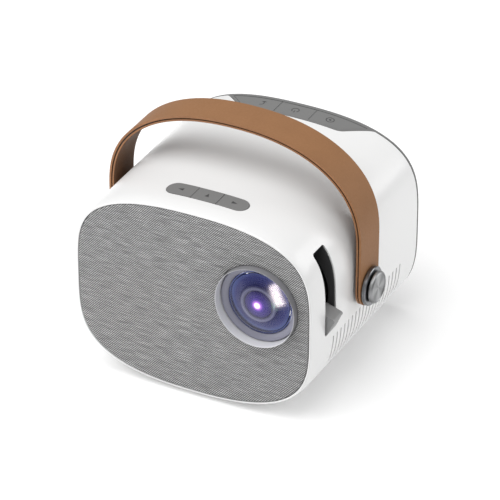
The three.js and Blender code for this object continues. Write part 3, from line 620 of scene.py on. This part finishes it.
PANEL_GLASS = coated_glass("panel_glass", (0.5, 0.6, 0.9), (0.7, 0.75, 1.0))
GLOWING_BARREL = glowing_barrel()
INNER_LENS_GLOW = glowing_inner_lens()
BOARD = circuit_board()
STEEL = plain_metal("drawn_steel", (0.32, 0.32, 0.33), 0.35, (0.4, 6, 6))
ALUMINIUM = plain_metal("aluminium", (0.6, 0.61, 0.62), 0.35, (3, 0.4, 3))
BRASS = plain_metal("brass", (0.6, 0.42, 0.16), 0.3, (3, 3, 3))


# ------------------------ placing pieces

def finished(obj, look, body, slot, *nodes):
    """Gives a new piece its material and body, and lets it stand for its CAD nodes. The slot argument is not
    used.
    """
    obj.data.materials.clear()
    obj.data.materials.append(look)
    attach(obj, body)
    if nodes:
        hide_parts(*nodes)
    return obj


def dress(node, look, edge=0.0):
    """A CAD node that keeps its shape gets its material, and fine rounded edges if asked."""
    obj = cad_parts[node]
    for place in obj.material_slots:
        place.material = look
    if edge:
        bevelled(obj, edge)


# ------------------------ casing

COVER_FRONT = SHELL[1].y + 0.3
VENTS = {"count": 19, "first": 21.6, "pitch": 3.9, "width": 1.1, "bottom": -27.0, "top": -11.5}
LOUVRES = {"rows": 7, "lowest": -4, "pitch": 4.6, "half_width": 15, "height": 2.2}
SLOT = {"y0": 13.0, "y1": 23.9, "z0": -7.2, "z1": 34.6, "corner": 1.4}
SCREW_BOSS, PIN_HOLE, KEY_LINE = 3.6, 2.4, 102.5
FEET = [f"foot_{end}_{side}" for end in ("front", "rear") for side in ("left", "right")]
SCREWS = [f"cover_screw_{level}_{side}" for level in ("upper", "lower") for side in ("left", "right")]


def pill_outline(grow):
    low, high = PILL
    margin = 0.1 + grow
    a0, a1, b0, b1 = low.x - margin, high.x + margin, low.y - margin, high.y + margin
    return rounded_rectangle(a0, a1, b0, b1, (b1 - b0) / 2 - 0.01, 16)


def bend(start, corner, end, steps=8):
    """A smooth curve from start to end that is pulled towards the corner."""
    points = []
    for i in range(steps + 1):
        t = i / steps
        near, pull, far = (1 - t) ** 2, 2 * t * (1 - t), t * t
        points.append(tuple(near * a + pull * b + far * c for a, b, c in zip(start, corner, end)))
    return points


def tongue_outline(shrink, corner=3.0, flare=3.2):
    """The tongue widens rearwards at 45 degrees; it has round front corners and flares into the rim."""
    y0, y1 = TONGUE_FRONT + shrink, COVER_FRONT + 0.2 - shrink
    w0 = TONGUE_HALF - shrink * 0.41
    w1 = w0 + (y1 - y0)
    right = bend((w0 - corner, y0), (w0, y0), (w0 + corner * 0.7, y0 + corner * 0.7))
    if shrink > 0:
        right.append((w1, y1))
    else:
        right += bend((w1 - flare, y1 - flare), (w1 - 0.4, y1 - 0.4), (w1 + flare * 1.2, y1))
    left = [(-x, y) for x, y in reversed(right)]
    return [*right, *left]


def vent_cutters():
    cutters = []
    for i in range(VENTS["count"]):
        y = VENTS["first"] + i * VENTS["pitch"]
        slit = rounded_rectangle(y, y + VENTS["width"], VENTS["bottom"], VENTS["top"], 0.54, 4)
        for side in (-1, 1):
            cutters.append(prism("slit", slit, "yz", side * 50, side * 70))
    return cutters


def slot_outline(grow):
    return rounded_rectangle(SLOT["y0"] - grow, SLOT["y1"] + grow, SLOT["z0"] - grow, SLOT["z1"] + grow,
                             SLOT["corner"] + min(grow, 0))


def shell_section():
    """The shell's wall from its front lip, back along the outside, and forward along the inside."""
    rear = SHELL[1].y
    lip_inside = -2.6
    rim = [(-0.6, 0.45), (-0.52, 0.27), (-0.38, 0.2), (-0.12, 0.2), (0.08, 0.28), (0.24, 0.48)]
    shares = [i / 12 for i in range(13)]
    lead = [(0.36 + 0.78 * (1 - (1 - t) ** 2.4), 0.7 + 8.3 * t) for t in shares]
    stations = [14 + (rear - 14.6) * i / 18 for i in range(19)]
    outer = [(shell_growth(y) + 0.15 * (1 - (y - 9) / (rear - 9)), y) for y in stations]
    return [
        *rim, *lead, *outer, (REAR_GROWTH - 0.08, rear - 0.22), (REAR_GROWTH - 0.3, rear),
        (REAR_GROWTH - WALL, rear), (shell_growth(8) - WALL, 8), (lip_inside, 4.6),
        (lip_inside, LIP_END), (-0.6, LIP_END),
    ]


def make_shell():
    shell = outlined("white_shell", shell_section())
    posts = [rod(SCREW_BOSS, 97, 106.2, (m.x, 0, m.z)) for m in map(centre, SCREWS)]
    posts += [rod(2.4, 42.1, 45.8, (x, 16.2, 0), "z", 20) for x in (-27, 27)]
    posts += [rod(2.5, -45, -38.1, (x, y, 0), "z", 20) for x in (-30, 30) for y in (30, 90)]
    boolean(shell, posts, "UNION")
    bush = centre("tripod_bush")
    cutters = [
        prism("pill", pill_outline(0.2), "xy", 38, 60),
        prism("tongue", tongue_outline(-0.3), "xy", 30, 60),
        prism("slot", slot_outline(0), "yz", 45, 70),
        rod(4.2, -60, -40, (bush.x, bush.y, 0), "z", 40),
    ]
    cutters += [rod(PIN_HOLE, side * 50, side * 70, (0, PIVOT.y, PIVOT.z), "x", 32) for side in (-1, 1)]
    cutters += [rod(2.1, -60, -38, (m.x, m.y, 0), "z", 20) for m in map(centre, FEET)]
    boolean(shell, cutters + vent_cutters())
    soften(shell, 0.22, 2, 42)
    finished(shell, WHITE, "casing", "white_plastic", "main_shell")


def make_cloth():
    """The stretched speaker cloth, wrapped over the carrier's edge, with the lens opening."""
    thick = CLOTH[1].y
    edge, radius = -CLOTH_INSET, 0.75
    turns = (0.0, 0.3, 0.6, 0.9, 1.2, 1.57)
    wrap = [(edge - radius + radius * math.sin(a), radius - radius * math.cos(a)) for a in turns]
    cloth = outlined("front_cloth", [(AXIS, 0.0), *wrap, (edge, thick), (AXIS, thick)])
    boolean(cloth, [rod(LENS_HOLE, -10, 10, (LENS.x, 0, LENS.z), "y", 96)])
    soften(cloth, 0.12, 2, 50)
    finished(cloth, CLOTH_LOOK, "casing", "fabric", "front_fabric")
    area = (outline_area(edge) - math.pi * LENS_HOLE**2) * MM**2


def socket_outline(node, grow):
    low, high = extent(node)
    return rounded_rectangle(low.x - grow, high.x + grow, low.z - grow, high.z + grow, 0.8, 5)


def cover_cutters():
    cutters = []
    for m in map(centre, SCREWS):
        bore = [(0, 100), (1.7, 100), (1.7, 112.6), (3.2, 112.6), (3.2, 120), (0, 120)]
        cutters.append(turned("hole", bore, (m.x, 0, m.z), "y", 32))
    for node in ("dc_socket", "hdmi_socket", "usb_socket", "audio_socket"):
        cutters.append(prism("socket", socket_outline(node, 0.35), "xz", 104, 120))
    window = centre("ir_window")
    cutters.append(rod(3.4, 105, 120, (window.x, 0, window.z), "y", 40))
    half, height = LOUVRES["half_width"], LOUVRES["height"]
    for x in (-LENS.x, LENS.x):
        for row in range(LOUVRES["rows"]):
            z = LOUVRES["lowest"] + row * LOUVRES["pitch"]
            louvre = rounded_rectangle(x - half, x + half, z, z + height, 1.05, 5)
            cutters.append(prism("louvre", louvre, "xz", 105, 120))
    cutters += [rod(1.8, 40, 50, (x, KEY_LINE, 0), "z", 20) for x in (-KEY_PITCH, 0, KEY_PITCH)]
    return cutters


def make_cover():
    spigot = shell_growth(COVER_FRONT) - WALL - 0.4
    rear = COVER[1].y
    back_round = bend((REAR_GROWTH, 111.0), (1.5, 112.9), (-1.2, 113.75), 9)
    cover = outlined("rear_cover_skin", [
        (AXIS, 112.2), (spigot - 1.8, 112.2), (spigot - 1.8, 106.5), (spigot, 106.5), (spigot, COVER_FRONT),
        (REAR_GROWTH - 0.15, COVER_FRONT), (REAR_GROWTH, COVER_FRONT + 0.2), *back_round, (-3.4, rear),
        (-8, rear), (-20, rear), (AXIS, rear),
    ])
    tongue = prism("tongue", tongue_outline(0), "xy", 34, 60)
    boolean(tongue, [body_solid(0, TONGUE_FRONT - 1, 111.4)], "INTERSECT")
    boolean(tongue, [body_solid(-WALL, TONGUE_FRONT - 2, 120)])
    columns = joined([rod(SCREW_BOSS, 106.5, 112.5, (m.x, 0, m.z)) for m in map(centre, SCREWS)])
    boolean(columns, [body_solid(-WALL - 0.4, 100, 113)], "INTERSECT")
    boolean(cover, [tongue], "UNION")
    boolean(cover, [columns], "UNION")
    pocket = prism("pocket", tongue_outline(TONGUE_BORDER, 1.4), "xy", 30, 60)
    boolean(pocket, [body_solid(-1.6, 90, 118)])
    boolean(cover, [pocket])
    boolean(cover, cover_cutters())
    soften(cover, 0.2, 2, 42)
    finished(cover, GREY, "casing", "grey_plastic", "rear_cover")


def key_blank(place, node, outline, bottom, y0, y1):
    """The part of an outline that belongs to one key of a row; outer keys reach to its end."""
    low, high = extent(node)
    piece = prism(f"cap_{node}", outline, "xy", bottom, 60)
    strip_low = (-60 if place < 0 else low.x, y0, 30)
    strip_high = (60 if place > 0 else high.x, y1, 70)
    return boolean(piece, [block("strip", strip_low, strip_high)], "INTERSECT")


def make_top_button(place, node, body):
    piece = key_blank(place, node, pill_outline(0), extent(node)[0].z, 0, 40)
    boolean(piece, [body_solid(0.35, 4, 40)], "INTERSECT")
    soften(piece, 0.32, 3, 35)
    finished(piece, KEY_GREY, body, "grey_plastic", node)


def make_rear_key(place, node, body):
    piece = key_blank(place, node, tongue_outline(TONGUE_BORDER + 0.25, 1.2), 34, 90, 120)
    skin = body_solid(-0.12, 95, 112)
    boolean(skin, [body_solid(-0.85, 90, 118)])
    boolean(piece, [skin], "INTERSECT")
    plunger = rod(1.2, 45.9, 50, (place * KEY_PITCH, KEY_LINE, 0), "z", 20)
    boolean(plunger, [body_solid(-0.4, 95, 112)], "INTERSECT")
    boolean(piece, [plunger], "UNION")
    soften(piece, 0.12, 2, 40)
    finished(piece, KEY_GREY, body, "grey_plastic", node)


# ------------------------ printed symbols

def printed(name, outlines, body, more):
    """Flat ink shapes of (x, y) points that lie on a curved top surface moved out by `more`."""
    vertices, faces = [], []
    for outline in outlines:
        start, n = len(vertices), len(outline)
        for lift in (-0.04, 0.03):
            vertices += [(x, y, top_height(x, y, more + lift)) for x, y in outline]
        under, over = (list(range(first, first + n)) for first in (start, start + n))
        faces += [under, over, *strip(under, over)]
    obj = smooth(new_object(name, vertices, faces))
    finished(obj, PRINT, body, "dark_plastic")


def band(middle, radius, width, start, end, steps=20):
    """A curved stroke of the given width."""
    outer = arc(middle, radius + width / 2, start, end, steps)
    return outer + arc(middle, radius - width / 2, end, start, steps)


def triangle(middle, size, heading):
    return [on_circle(middle, size, heading + turn) for turn in (0, 140, 220)]


def stroke(one, two, width):
    d = (Vector(two) - Vector(one)).normalized() * width / 2
    side = Vector((-d.y, d.x))
    return [tuple(Vector(p) + s * side) for p, s in ((one, 1), (one, -1), (two, -1), (two, 1))]


def make_symbols():
    line = 0.42
    for (node, body), heading in zip(TOP_KEYS, (180, 90, 0)):
        m = centre(node)
        printed(f"mark_{node}", [triangle((m.x, m.y), 1.55, heading)], body, 0.35)
    y = centre("key_power").y + 0.2
    x = -KEY_PITCH
    bar = y + 1.5
    hook = [band((x, y), 1.5, line, -100, 80), stroke((x, bar), (x + 1.2, bar), line),
            triangle((x + 1.6, bar), 0.95, 0)]
    ring = [band((0, y), 1.75, 0.45, -50, 230), stroke((0, y - 0.5), (0, y - 2.3), 0.45)]
    x = KEY_PITCH
    target = [*(band((x, y), 1.9, line, start, start + 180) for start in (0, 180)),
              arc((x, y), 0.62, 0, 345, 23)]
    for (node, body), mark in zip(REAR_KEYS, (hook, ring, target)):
        printed(f"mark_{node}", mark, body, -0.12)


# ------------------------ lens and focus

def make_ring(at):
    front = extent("lens_ring")[0].y
    ring = turned("bezel_ring", [
        (19.7, 5.5), (19.7, front + 0.8), (19.74, front + 0.35), (19.82, front + 0.1), (19.95, front),
        (20.06, front + 0.08), (20.16, front + 0.3), (20.2, front + 0.7), (20.2, 4.3), (22.2, 4.3),
        (22.2, 5.5),
    ], at, "y", 160)
    finished(smooth(ring, 28), LENS_GREY, "casing", "lens_grey", "lens_ring")
    paint_ring_outer_shade(ring)


def make_trim(at):
    cone = bend((19.0, 1.42), (17.6, 1.5), (16.35, 2.45), 8)
    profile = [(19.3, 4.4), (19.3, 1.75), (19.2, 1.5), *cone, (16.1, 2.8), (16.1, 4.4)]
    trim = turned("trim_ring", profile, at, "y", 160)
    finished(smooth(trim, 25), TRIM_GREY, "lens_group", "lens_grey", "lens_trim_ring")


def make_barrel(at):
    """A tube whose front is closed by stepped baffles, with a lip round the inner lens."""
    steps = [(16.1, 4.6), (18.2, 4.6), (18.2, 36), (16.1, 36), (16.1, 8.5), (9.6, 7.5), (6.9, 7.5),
             (6.9, 1.35), (7.2, 1.05), (8.3, 0.95), (8.75, 1.15), (8.85, 1.6), (9.3, 1.9)]
    radius, y = 9.5, 2.5
    while radius < 14.8:
        steps += [(radius, y), (radius + 0.55, y + 0.04), (radius + 0.62, y + 0.38)]
        radius, y = radius + 0.78, y + 0.4
    barrel = turned("stepped_barrel", [*steps, (15.6, 5.35), (16.1, 5.35)], at, "y", 128)
    finished(smooth(barrel, 30), GLOWING_BARREL, "lens_group", "dark_plastic", "lens_barrel")


def make_inner_lens(at):
    rim, sag, steps = INNER_LENS_RADIUS, 1.25, 14
    dome = [(rim * i / steps, sag * (i / steps) ** 2) for i in range(steps + 1)]
    profile = [(0, 5.5), (rim - 0.2, 5.5), (rim, 5.3), *reversed(dome)]
    inner = turned("inner_element", profile, at, "y", 96)
    return finished(smooth(inner, 35), INNER_LENS_GLOW, "lens_group", "glass", "inner_lens")


def make_lens():
    """Makes the lens, and returns its glass."""
    at = (LENS.x, 0, LENS.z)
    make_ring(at)
    make_trim(at)
    make_barrel(at)
    return [make_front_glass(at), make_inner_lens(at)]


def paint_ring_outer_shade(ring):
    """The ring's lip and outer wall take a darker copy of the bore's grey: painted shade."""
    ring.data.materials.append(RING_OUTER_SHADE)
    axis = ORIGIN + LENS * MM
    for face in ring.data.polygons:
        outward = face.center - axis
        outward.y = 0
        if face.normal.dot(outward.normalized()) > -0.5:
            face.material_index = 1


def make_front_glass(at):
    """The front element is a meniscus: a domed shell with a ground rim."""
    low, high = extent("front_lens")
    radius, inner_radius, edge, steps = 15.8, 14.6, 2.3, 20
    shares = [i / steps for i in range(steps + 1)]
    outside = [(radius * share, low.y + (edge - low.y) * share**2) for share in shares]
    inside = [(inner_radius * share, low.y + 1.2 + 4.2 * share**2) for share in shares]
    profile = [*inside, (14.8, high.y), (15.6, high.y), (radius, high.y - 0.2), *reversed(outside)]
    element = turned("front_element", profile, at, "y", 128)
    return finished(smooth(element, 35), GLASS, "lens_group", "glass", "front_lens")


def make_focus_ring():
    """The drum that the finger lever turns, with a groove in front of its ridge."""
    low, high = extent("focus_ring")
    radius, middle = (high.x - low.x) / 2, (low.y + high.y) / 2
    bore, drum, bevel = 21, radius - 0.35, 0.4
    profile = [
        (bore, low.y), (drum - 0.35, low.y), (drum, low.y + bevel), (drum, middle - 2.2),
        (drum - bevel, middle - 2), (drum - bevel, middle - 1.4), (drum, middle - 1),
        (radius, middle - 0.6), (radius, middle + 0.6), (drum, middle + 1), (drum, high.y - bevel),
        (drum - 0.35, high.y), (bore, high.y),
    ]
    ring = turned("focus_drum", profile, (LENS.x, 0, LENS.z), "y", 160)
    finished(smooth(ring, 25), LINER_BLACK, "focus_wheel", "dark_plastic", "focus_ring")


LEVER = {"rest": -18.2, "inner": 23.65, "reach": 32.7, "top": 3.25, "heel": -2.9, "knee": 28.2,
         "knee_height": -4.6, "tail": -6.0, "tail_inner": 30.3, "tail_reach": 31.7}
LINER = {"gap": 0.15, "wall": 0.55, "sink": 0.42, "lap": 1.8, "lap_front": 2.5, "back": 3.7, "bore": 24.1}


def lever_place(r, t):
    """A point at radius r and height t in the lever's own frame, turned to its place at rest."""
    a = math.radians(LEVER["rest"])
    return LENS.x + r * math.cos(a) - t * math.sin(a), LENS.z + r * math.sin(a) + t * math.cos(a)


def make_lever():
    """The lever reaches out through the slot to a wedge with three shallow grip grooves."""
    low, high = extent("focus_lever")
    reach, top = LEVER["reach"], LEVER["top"]
    outline = [(LEVER["inner"], LEVER["heel"]), (LEVER["inner"], top),
               *reversed(arc((reach - 1.2, top - 1.2), 1.2, 0, 90, 6))]
    for k in range(3):
        t = top - 2.6 - k * 1.5
        r = reach - 0.1 - 0.09 * (top - t)
        outline += [(r, t + 0.3), (r - 0.28, t), (r, t - 0.3)]
    outline += [(LEVER["tail_reach"], LEVER["tail"]), (LEVER["tail_inner"], LEVER["tail"]),
                (LEVER["knee"], LEVER["knee_height"])]
    lever = prism("finger_lever", [lever_place(*point) for point in outline], "xz", low.y, high.y)
    soften(lever, 0.22, 3, 35)
    finished(lever, LEVER_GREY, "focus_wheel", "lens_grey", "focus_lever")


def make_liner():
    """The dark sleeve that lines the side slot from just under the surface in to the focus ring."""
    sleeve = prism("slot_lining", slot_outline(-LINER["gap"]), "yz", 40, 70)
    boolean(sleeve, [body_solid(-LINER["sink"], 5, 40)], "INTERSECT")
    behind_wall = body_solid(-LINER["lap_front"], 5, 40)
    boolean(behind_wall, [body_solid(-LINER["back"], 4, 41)])
    flange = boolean(prism("lap", slot_outline(LINER["lap"]), "yz", 40, 70), [behind_wall], "INTERSECT")
    boolean(sleeve, [flange], "UNION")
    drum = rod(LINER["bore"], 4, 41, (LENS.x, 0, LENS.z), "y", 96)
    boolean(sleeve, [prism("bore", slot_outline(-LINER["gap"] - LINER["wall"]), "yz", 30, 70)])
    boolean(sleeve, [drum])
    soften(sleeve, 0.12, 2, 40)
    finished(sleeve, LINER_BLACK, "casing", "dark_plastic", "slot_liner")


# ------------------------ handle

STRAP = {"across": 2.242, "up": 2.382, "spring": 24.59, "steps": 120}
STRAP_LOW, STRAP_HIGH = extent("strap_outer")
STRAP_HALF, STRAP_TOP = STRAP_HIGH.x, STRAP_HIGH.z
STRAP_WIDTH = STRAP_HIGH.y - STRAP_LOW.y


def strap_curve(inset, rise_to):
    half = STRAP_HALF - inset
    rise = rise_to - inset - STRAP["spring"]
    points = []
    for i in range(STRAP["steps"] + 1):
        a = math.pi * i / STRAP["steps"]
        x = half * power(round(math.cos(a), 9), 2 / STRAP["across"])
        z = STRAP["spring"] + rise * max(math.sin(a), 0) ** (2 / STRAP["up"])
        points.append((x, z))
    return points


def strap_layer(name, near, far, narrower=0.0):
    half = STRAP_WIDTH / 2 - narrower
    foot = PIVOT.z - 12
    outer, inner = strap_curve(near, STRAP_TOP), strap_curve(far, STRAP_TOP)
    loop = [(STRAP_HALF - near, foot), *outer, (-STRAP_HALF + near, foot),
            (-STRAP_HALF + far, foot), *reversed(inner), (STRAP_HALF - far, foot)]
    layer = prism(name, loop, "xz", PIVOT.y - half, PIVOT.y + half)
    outline = [(PIVOT.y + half, 90), (PIVOT.y - half, 90), *arc((PIVOT.y, PIVOT.z), half, 180, 360, 32)]
    boolean(layer, [prism("side", outline, "yz", -80, 80)], "INTERSECT")
    at = (0, PIVOT.y, PIVOT.z)
    boolean(layer, [rod(PIN_HOLE, side * 55, side * 75, at, "x", 32) for side in (-1, 1)])
    return layer


def paint_edges(obj):
    """The strap's cut edges, which face forwards, backwards and round its ends, take the edge paint."""
    obj.data.materials.append(EDGE)
    for face in obj.data.polygons:
        n = face.normal
        if abs(n.y) > 0.35 or n.z < -0.6 and abs(n.x) < 0.3 and face.center.z < ORIGIN.z:
            face.material_index = 1


def make_strap():
    for name, node, near, far, narrow, look, slot in (
        ("strap_face", "strap_outer", 0.0, 1.0, 0.0, TAN, "leather"),
        ("strap_spring", "strap_core", 1.1, 1.45, 0.9, BLACK, "steel"),
        ("strap_back", "strap_lining", 1.55, 2.55, 0.0, LINING, "lining"),
    ):
        layer = strap_layer(name, near, far, narrow)
        if narrow:
            smooth(layer)
        else:
            soften(layer, 0.32, 3, 40)
        finished(layer, look, "handle", slot, node)
        if not narrow:
            paint_edges(layer)


def make_pivots():
    for side, word in ((-1, "left"), (1, "right")):
        at = (0, PIVOT.y, PIVOT.z)
        f0, f1 = sorted(abs(corner.x) for corner in extent(f"pivot_flange_{word}"))
        k0, k1 = sorted(abs(corner.x) for corner in extent(f"knob_{word}"))
        flange = [(2.3, f0), (9.1, f0), (9.4, f0 + 0.3), (9.4, f1 - 0.35), (9.05, f1), (2.3, f1)]
        cap = [(0, k0), (6.9, k0), (7.4, k0 + 0.25), (7.7, k0 + 0.6), (7.7, k1 - 0.85), (7.5, k1 - 0.35),
               (7.1, k1), (6.75, k1), (6.45, k1 - 0.3), (0, k1 - 0.35)]
        middle = centre(f"knob_{word}")
        dark = turned_metal(f"dark_collar_{word}", (0.2, 0.205, 0.215), 0.3, "x", middle)
        # the cap's rings are bumps; its wedge-shaped highlight is painted into its colour
        spun_with_painted_highlight = turned_metal(f"spun_cap_painted_highlight_{word}", (0.27, 0.273, 0.277), 0.36, "x", middle, 0.3, 0.006, 0.8)
        for name, node, profile, look, slot in (("collar", "pivot_flange", flange, dark, "steel"),
                                                ("cap", "knob", cap, spun_with_painted_highlight, "chrome")):
            points = [(radius, side * x) for radius, x in profile]
            piece = turned(f"{name}_{word}", points, at, "x", 96)
            finished(smooth(piece, 25), look, "casing", slot, f"{node}_{word}")


# ------------------------ underside and back

def make_feet():
    for node in FEET:
        low, high = extent(node)
        m = centre(node)
        at, bottom, radius = (m.x, m.y, 0), low.z, 4.6
        profile = [(0, bottom), (radius - 0.9, bottom), (radius - 0.3, bottom + 0.12),
                   (radius, bottom + 0.5), (radius, -38), (0, -38)]
        foot = turned(f"pad_{node}", profile, at, "z", 64)
        boolean(foot, [body_solid(0.06, 2, 112)])
        boolean(foot, [rod(1.8, -49, high.z, at, "z")], "UNION")
        soften(foot, 0.15, 2, 50)
        finished(foot, RUBBER, "casing", "rubber", node)


def make_bush():
    low, high = extent("tripod_bush")
    m = centre("tripod_bush")
    minor, major, pitch, flight = 2.55, 3.05, 1.27, 0.8
    thread, z = [], high.z - 0.5
    while z > low.z + flight:
        thread += [(minor, z), (major, z - flight / 2), (minor, z - flight)]
        z -= pitch
    profile = [(3.0, low.z), (4.0, low.z), (4.0, -45.9), (6.0, -45.9), (6.0, -44.7), (4.0, -44.7),
               (4.0, high.z), (minor, high.z), *thread, (minor, low.z + 0.45)]
    bush = turned("threaded_bush", profile, (m.x, m.y, 0), "z", 64)
    finished(smooth(bush, 30), BRASS, "casing", "brass", "tripod_bush")


def make_screws():
    for node in SCREWS:
        low, high = extent(node)
        m = centre(node)
        profile = [(0, low.y), (1, low.y + 1), (1, 112.7), (2.9, 112.7), (2.9, 113.3), (2.6, 113.7),
                   (1.8, high.y), (0, high.y)]
        screw = turned(f"head_{node}", profile, (m.x, 0, m.z), "y", 48)
        for w, h in ((1.6, 0.32), (0.32, 1.6)):
            boolean(screw, [block("arm", (m.x - w, 113.1, m.z - h), (m.x + w, 115, m.z + h))])
        soften(screw, 0.06, 1, 35)
        finished(screw, STEEL, "casing", "steel", node)


INNER_PIECES = (
    (BLACK, 0.0, "front_carrier lens_holder optical_housing fan_frame fan_rotor"),
    (BLACK, 0.0, "pivot_spacer_left pivot_spacer_right"),
    (BLACK, 0.15, "dc_socket audio_socket"),
    (BLACK, 0.2, "ir_window"),
    (STEEL, 0.1, "hdmi_socket usb_socket"),
    (STEEL, 0.0, "speaker_frame pivot_pin_left pivot_pin_right"),
    (PANEL_GLASS, 0.0, "front_fresnel lcd_panel rear_fresnel"),
    (ALUMINIUM, 0.0, "light_tunnel led_board heat_sink"),
    (BOARD, 0.0, "main_board front_key_board rear_key_board"),
    (BRASS, 0.0, "pivot_nut_left pivot_nut_right"),
    (PAPER, 0.0, "speaker_cone"),
)


def dress_inner_pieces():
    for look, edge, nodes in INNER_PIECES:
        for node in nodes.split():
            dress(node, look, edge)


# ------------------------ camera, light and floor

AZIMUTH, ELEVATION = math.radians(27.26), math.radians(31.46)
DISTANCE, FOCAL_LENGTH = 1.5006, 237.6
AIM_RIGHT, AIM_UP = 0.02646, 0.02476


def placed(obj, place, rotation):
    obj.location = place
    obj.rotation_mode = "QUATERNION"
    obj.rotation_quaternion = rotation
    bpy.context.scene.collection.objects.link(obj)
    return obj


def make_camera():
    right = Vector((math.cos(AZIMUTH), math.sin(AZIMUTH), 0))
    back = Vector((math.sin(AZIMUTH) * math.cos(ELEVATION), -math.cos(AZIMUTH) * math.cos(ELEVATION),
                   math.sin(ELEVATION)))
    up = back.cross(right)
    aim = ORIGIN + right * AIM_RIGHT + up * AIM_UP
    data = bpy.data.cameras.new("camera")
    data.lens = FOCAL_LENGTH
    data.sensor_width = 36
    data.clip_start, data.clip_end = 0.05, 20
    camera = bpy.data.objects.new("camera", data)
    bpy.context.scene.camera = placed(camera, aim + back * DISTANCE, (-back).to_track_quat("-Z", "Y"))


def area_light(name, place, target, size, watts, color=(1, 1, 1), roll=0.0):
    data = bpy.data.lights.new(name, "AREA")
    data.shape = "RECTANGLE"
    data.size, data.size_y = size
    data.energy = watts
    data.color = color
    aim = (Vector(target) - Vector(place)).to_track_quat("-Z", "Y")
    light = placed(bpy.data.objects.new(name, data), place, aim @ Quaternion((0, 0, 1), math.radians(roll)))
    light.visible_camera = False
    return light


def light_group(name, pieces, state):
    """A collection that a light takes as the pieces it lights (INCLUDE) or leaves out (EXCLUDE)."""
    group = bpy.data.collections.new(name)
    for piece in pieces:
        group.objects.link(piece)
    for member in group.collection_objects:
        member.light_linking.link_state = state
    return group


def light_the_lens(pieces, studio):
    """A strip and a small panel that only the glass takes light from, for its coloured highlights."""
    lens = ORIGIN + LENS * MM
    strip_place, glint_place = Vector((0.036, -0.13, -0.002)), Vector((0.0255, -0.1, -0.0375))
    pink, green = (1, 0.88, 0.9), (0.45, 1, 0.6)
    strip_light = area_light("lens_strip", lens + strip_place, lens, (0.034, 0.1), 2.9, pink, 24)
    glint = area_light("lens_glint", lens + glint_place, lens, (0.02, 0.03), 0.05, green)
    glass = light_group("glass", pieces, "INCLUDE")
    for light in (strip_light, glint):
        light.data.cycles.max_bounces = 0
        light.data.cycles.use_multiple_importance_sampling = False
        light.light_linking.receiver_collection = glass
    others = light_group("all_but_glass", pieces, "EXCLUDE")
    for light in studio:
        light.light_linking.receiver_collection = others


def make_studio():
    """Even light from all round, a large lamp overhead, and weaker ones at the sides."""
    world = bpy.data.worlds.new("studio")
    world.use_nodes = True
    background = world.node_tree.nodes["Background"]
    background.inputs["Color"].default_value = (1, 1, 1, 1)
    background.inputs["Strength"].default_value = 0.4
    bpy.context.scene.world = world
    bpy.context.scene.view_settings.view_transform = "Standard"
    lamps = (("key", (-0.2, -0.35, 1.2), 1.4, 16.5), ("side", (1.1, -0.35, 0.55), 0.7, 0.3),
             ("rear_side", (0.5, 0.4, 0.35), 0.35, 1.1), ("fill", (-0.9, -0.8, 0.4), 0.7, 3.2))
    middle = (0, 0, 0.06)
    return [area_light(name, place, middle, (size, size), watts) for name, place, size, watts in lamps]


def make_floor():
    half = 6
    corners = [(-half, -half, 0), (half, -half, 0), (half, half, 0), (-half, half, 0)]
    mesh = bpy.data.meshes.new("floor")
    mesh.from_pydata(corners, [], [(0, 1, 2, 3)])
    floor = bpy.data.objects.new("floor", mesh)
    bpy.context.scene.collection.objects.link(floor)
    look = Look("pale_floor", grey(0.93), 0.7)
    look.rough(look.noise(0.02, 2), 0.65, 0.75)
    look.set("Emission Color", (1, 1, 1, 1))
    look.set("Emission Strength", 0.1)
    look.material.cycles.emission_sampling = "NONE"
    floor.data.materials.append(look.material)


make_camera()
studio_lights = make_studio()
make_floor()
make_shell()
make_cloth()
make_cover()
for place, (node, body) in zip((-1, 0, 1), TOP_KEYS):
    make_top_button(place, node, body)
for place, (node, body) in zip((-1, 0, 1), REAR_KEYS):
    make_rear_key(place, node, body)
make_symbols()
light_the_lens(make_lens(), studio_lights)
make_liner()
make_focus_ring()
make_lever()
make_strap()
make_pivots()
make_feet()
make_bush()
make_screws()
dress_inner_pieces()
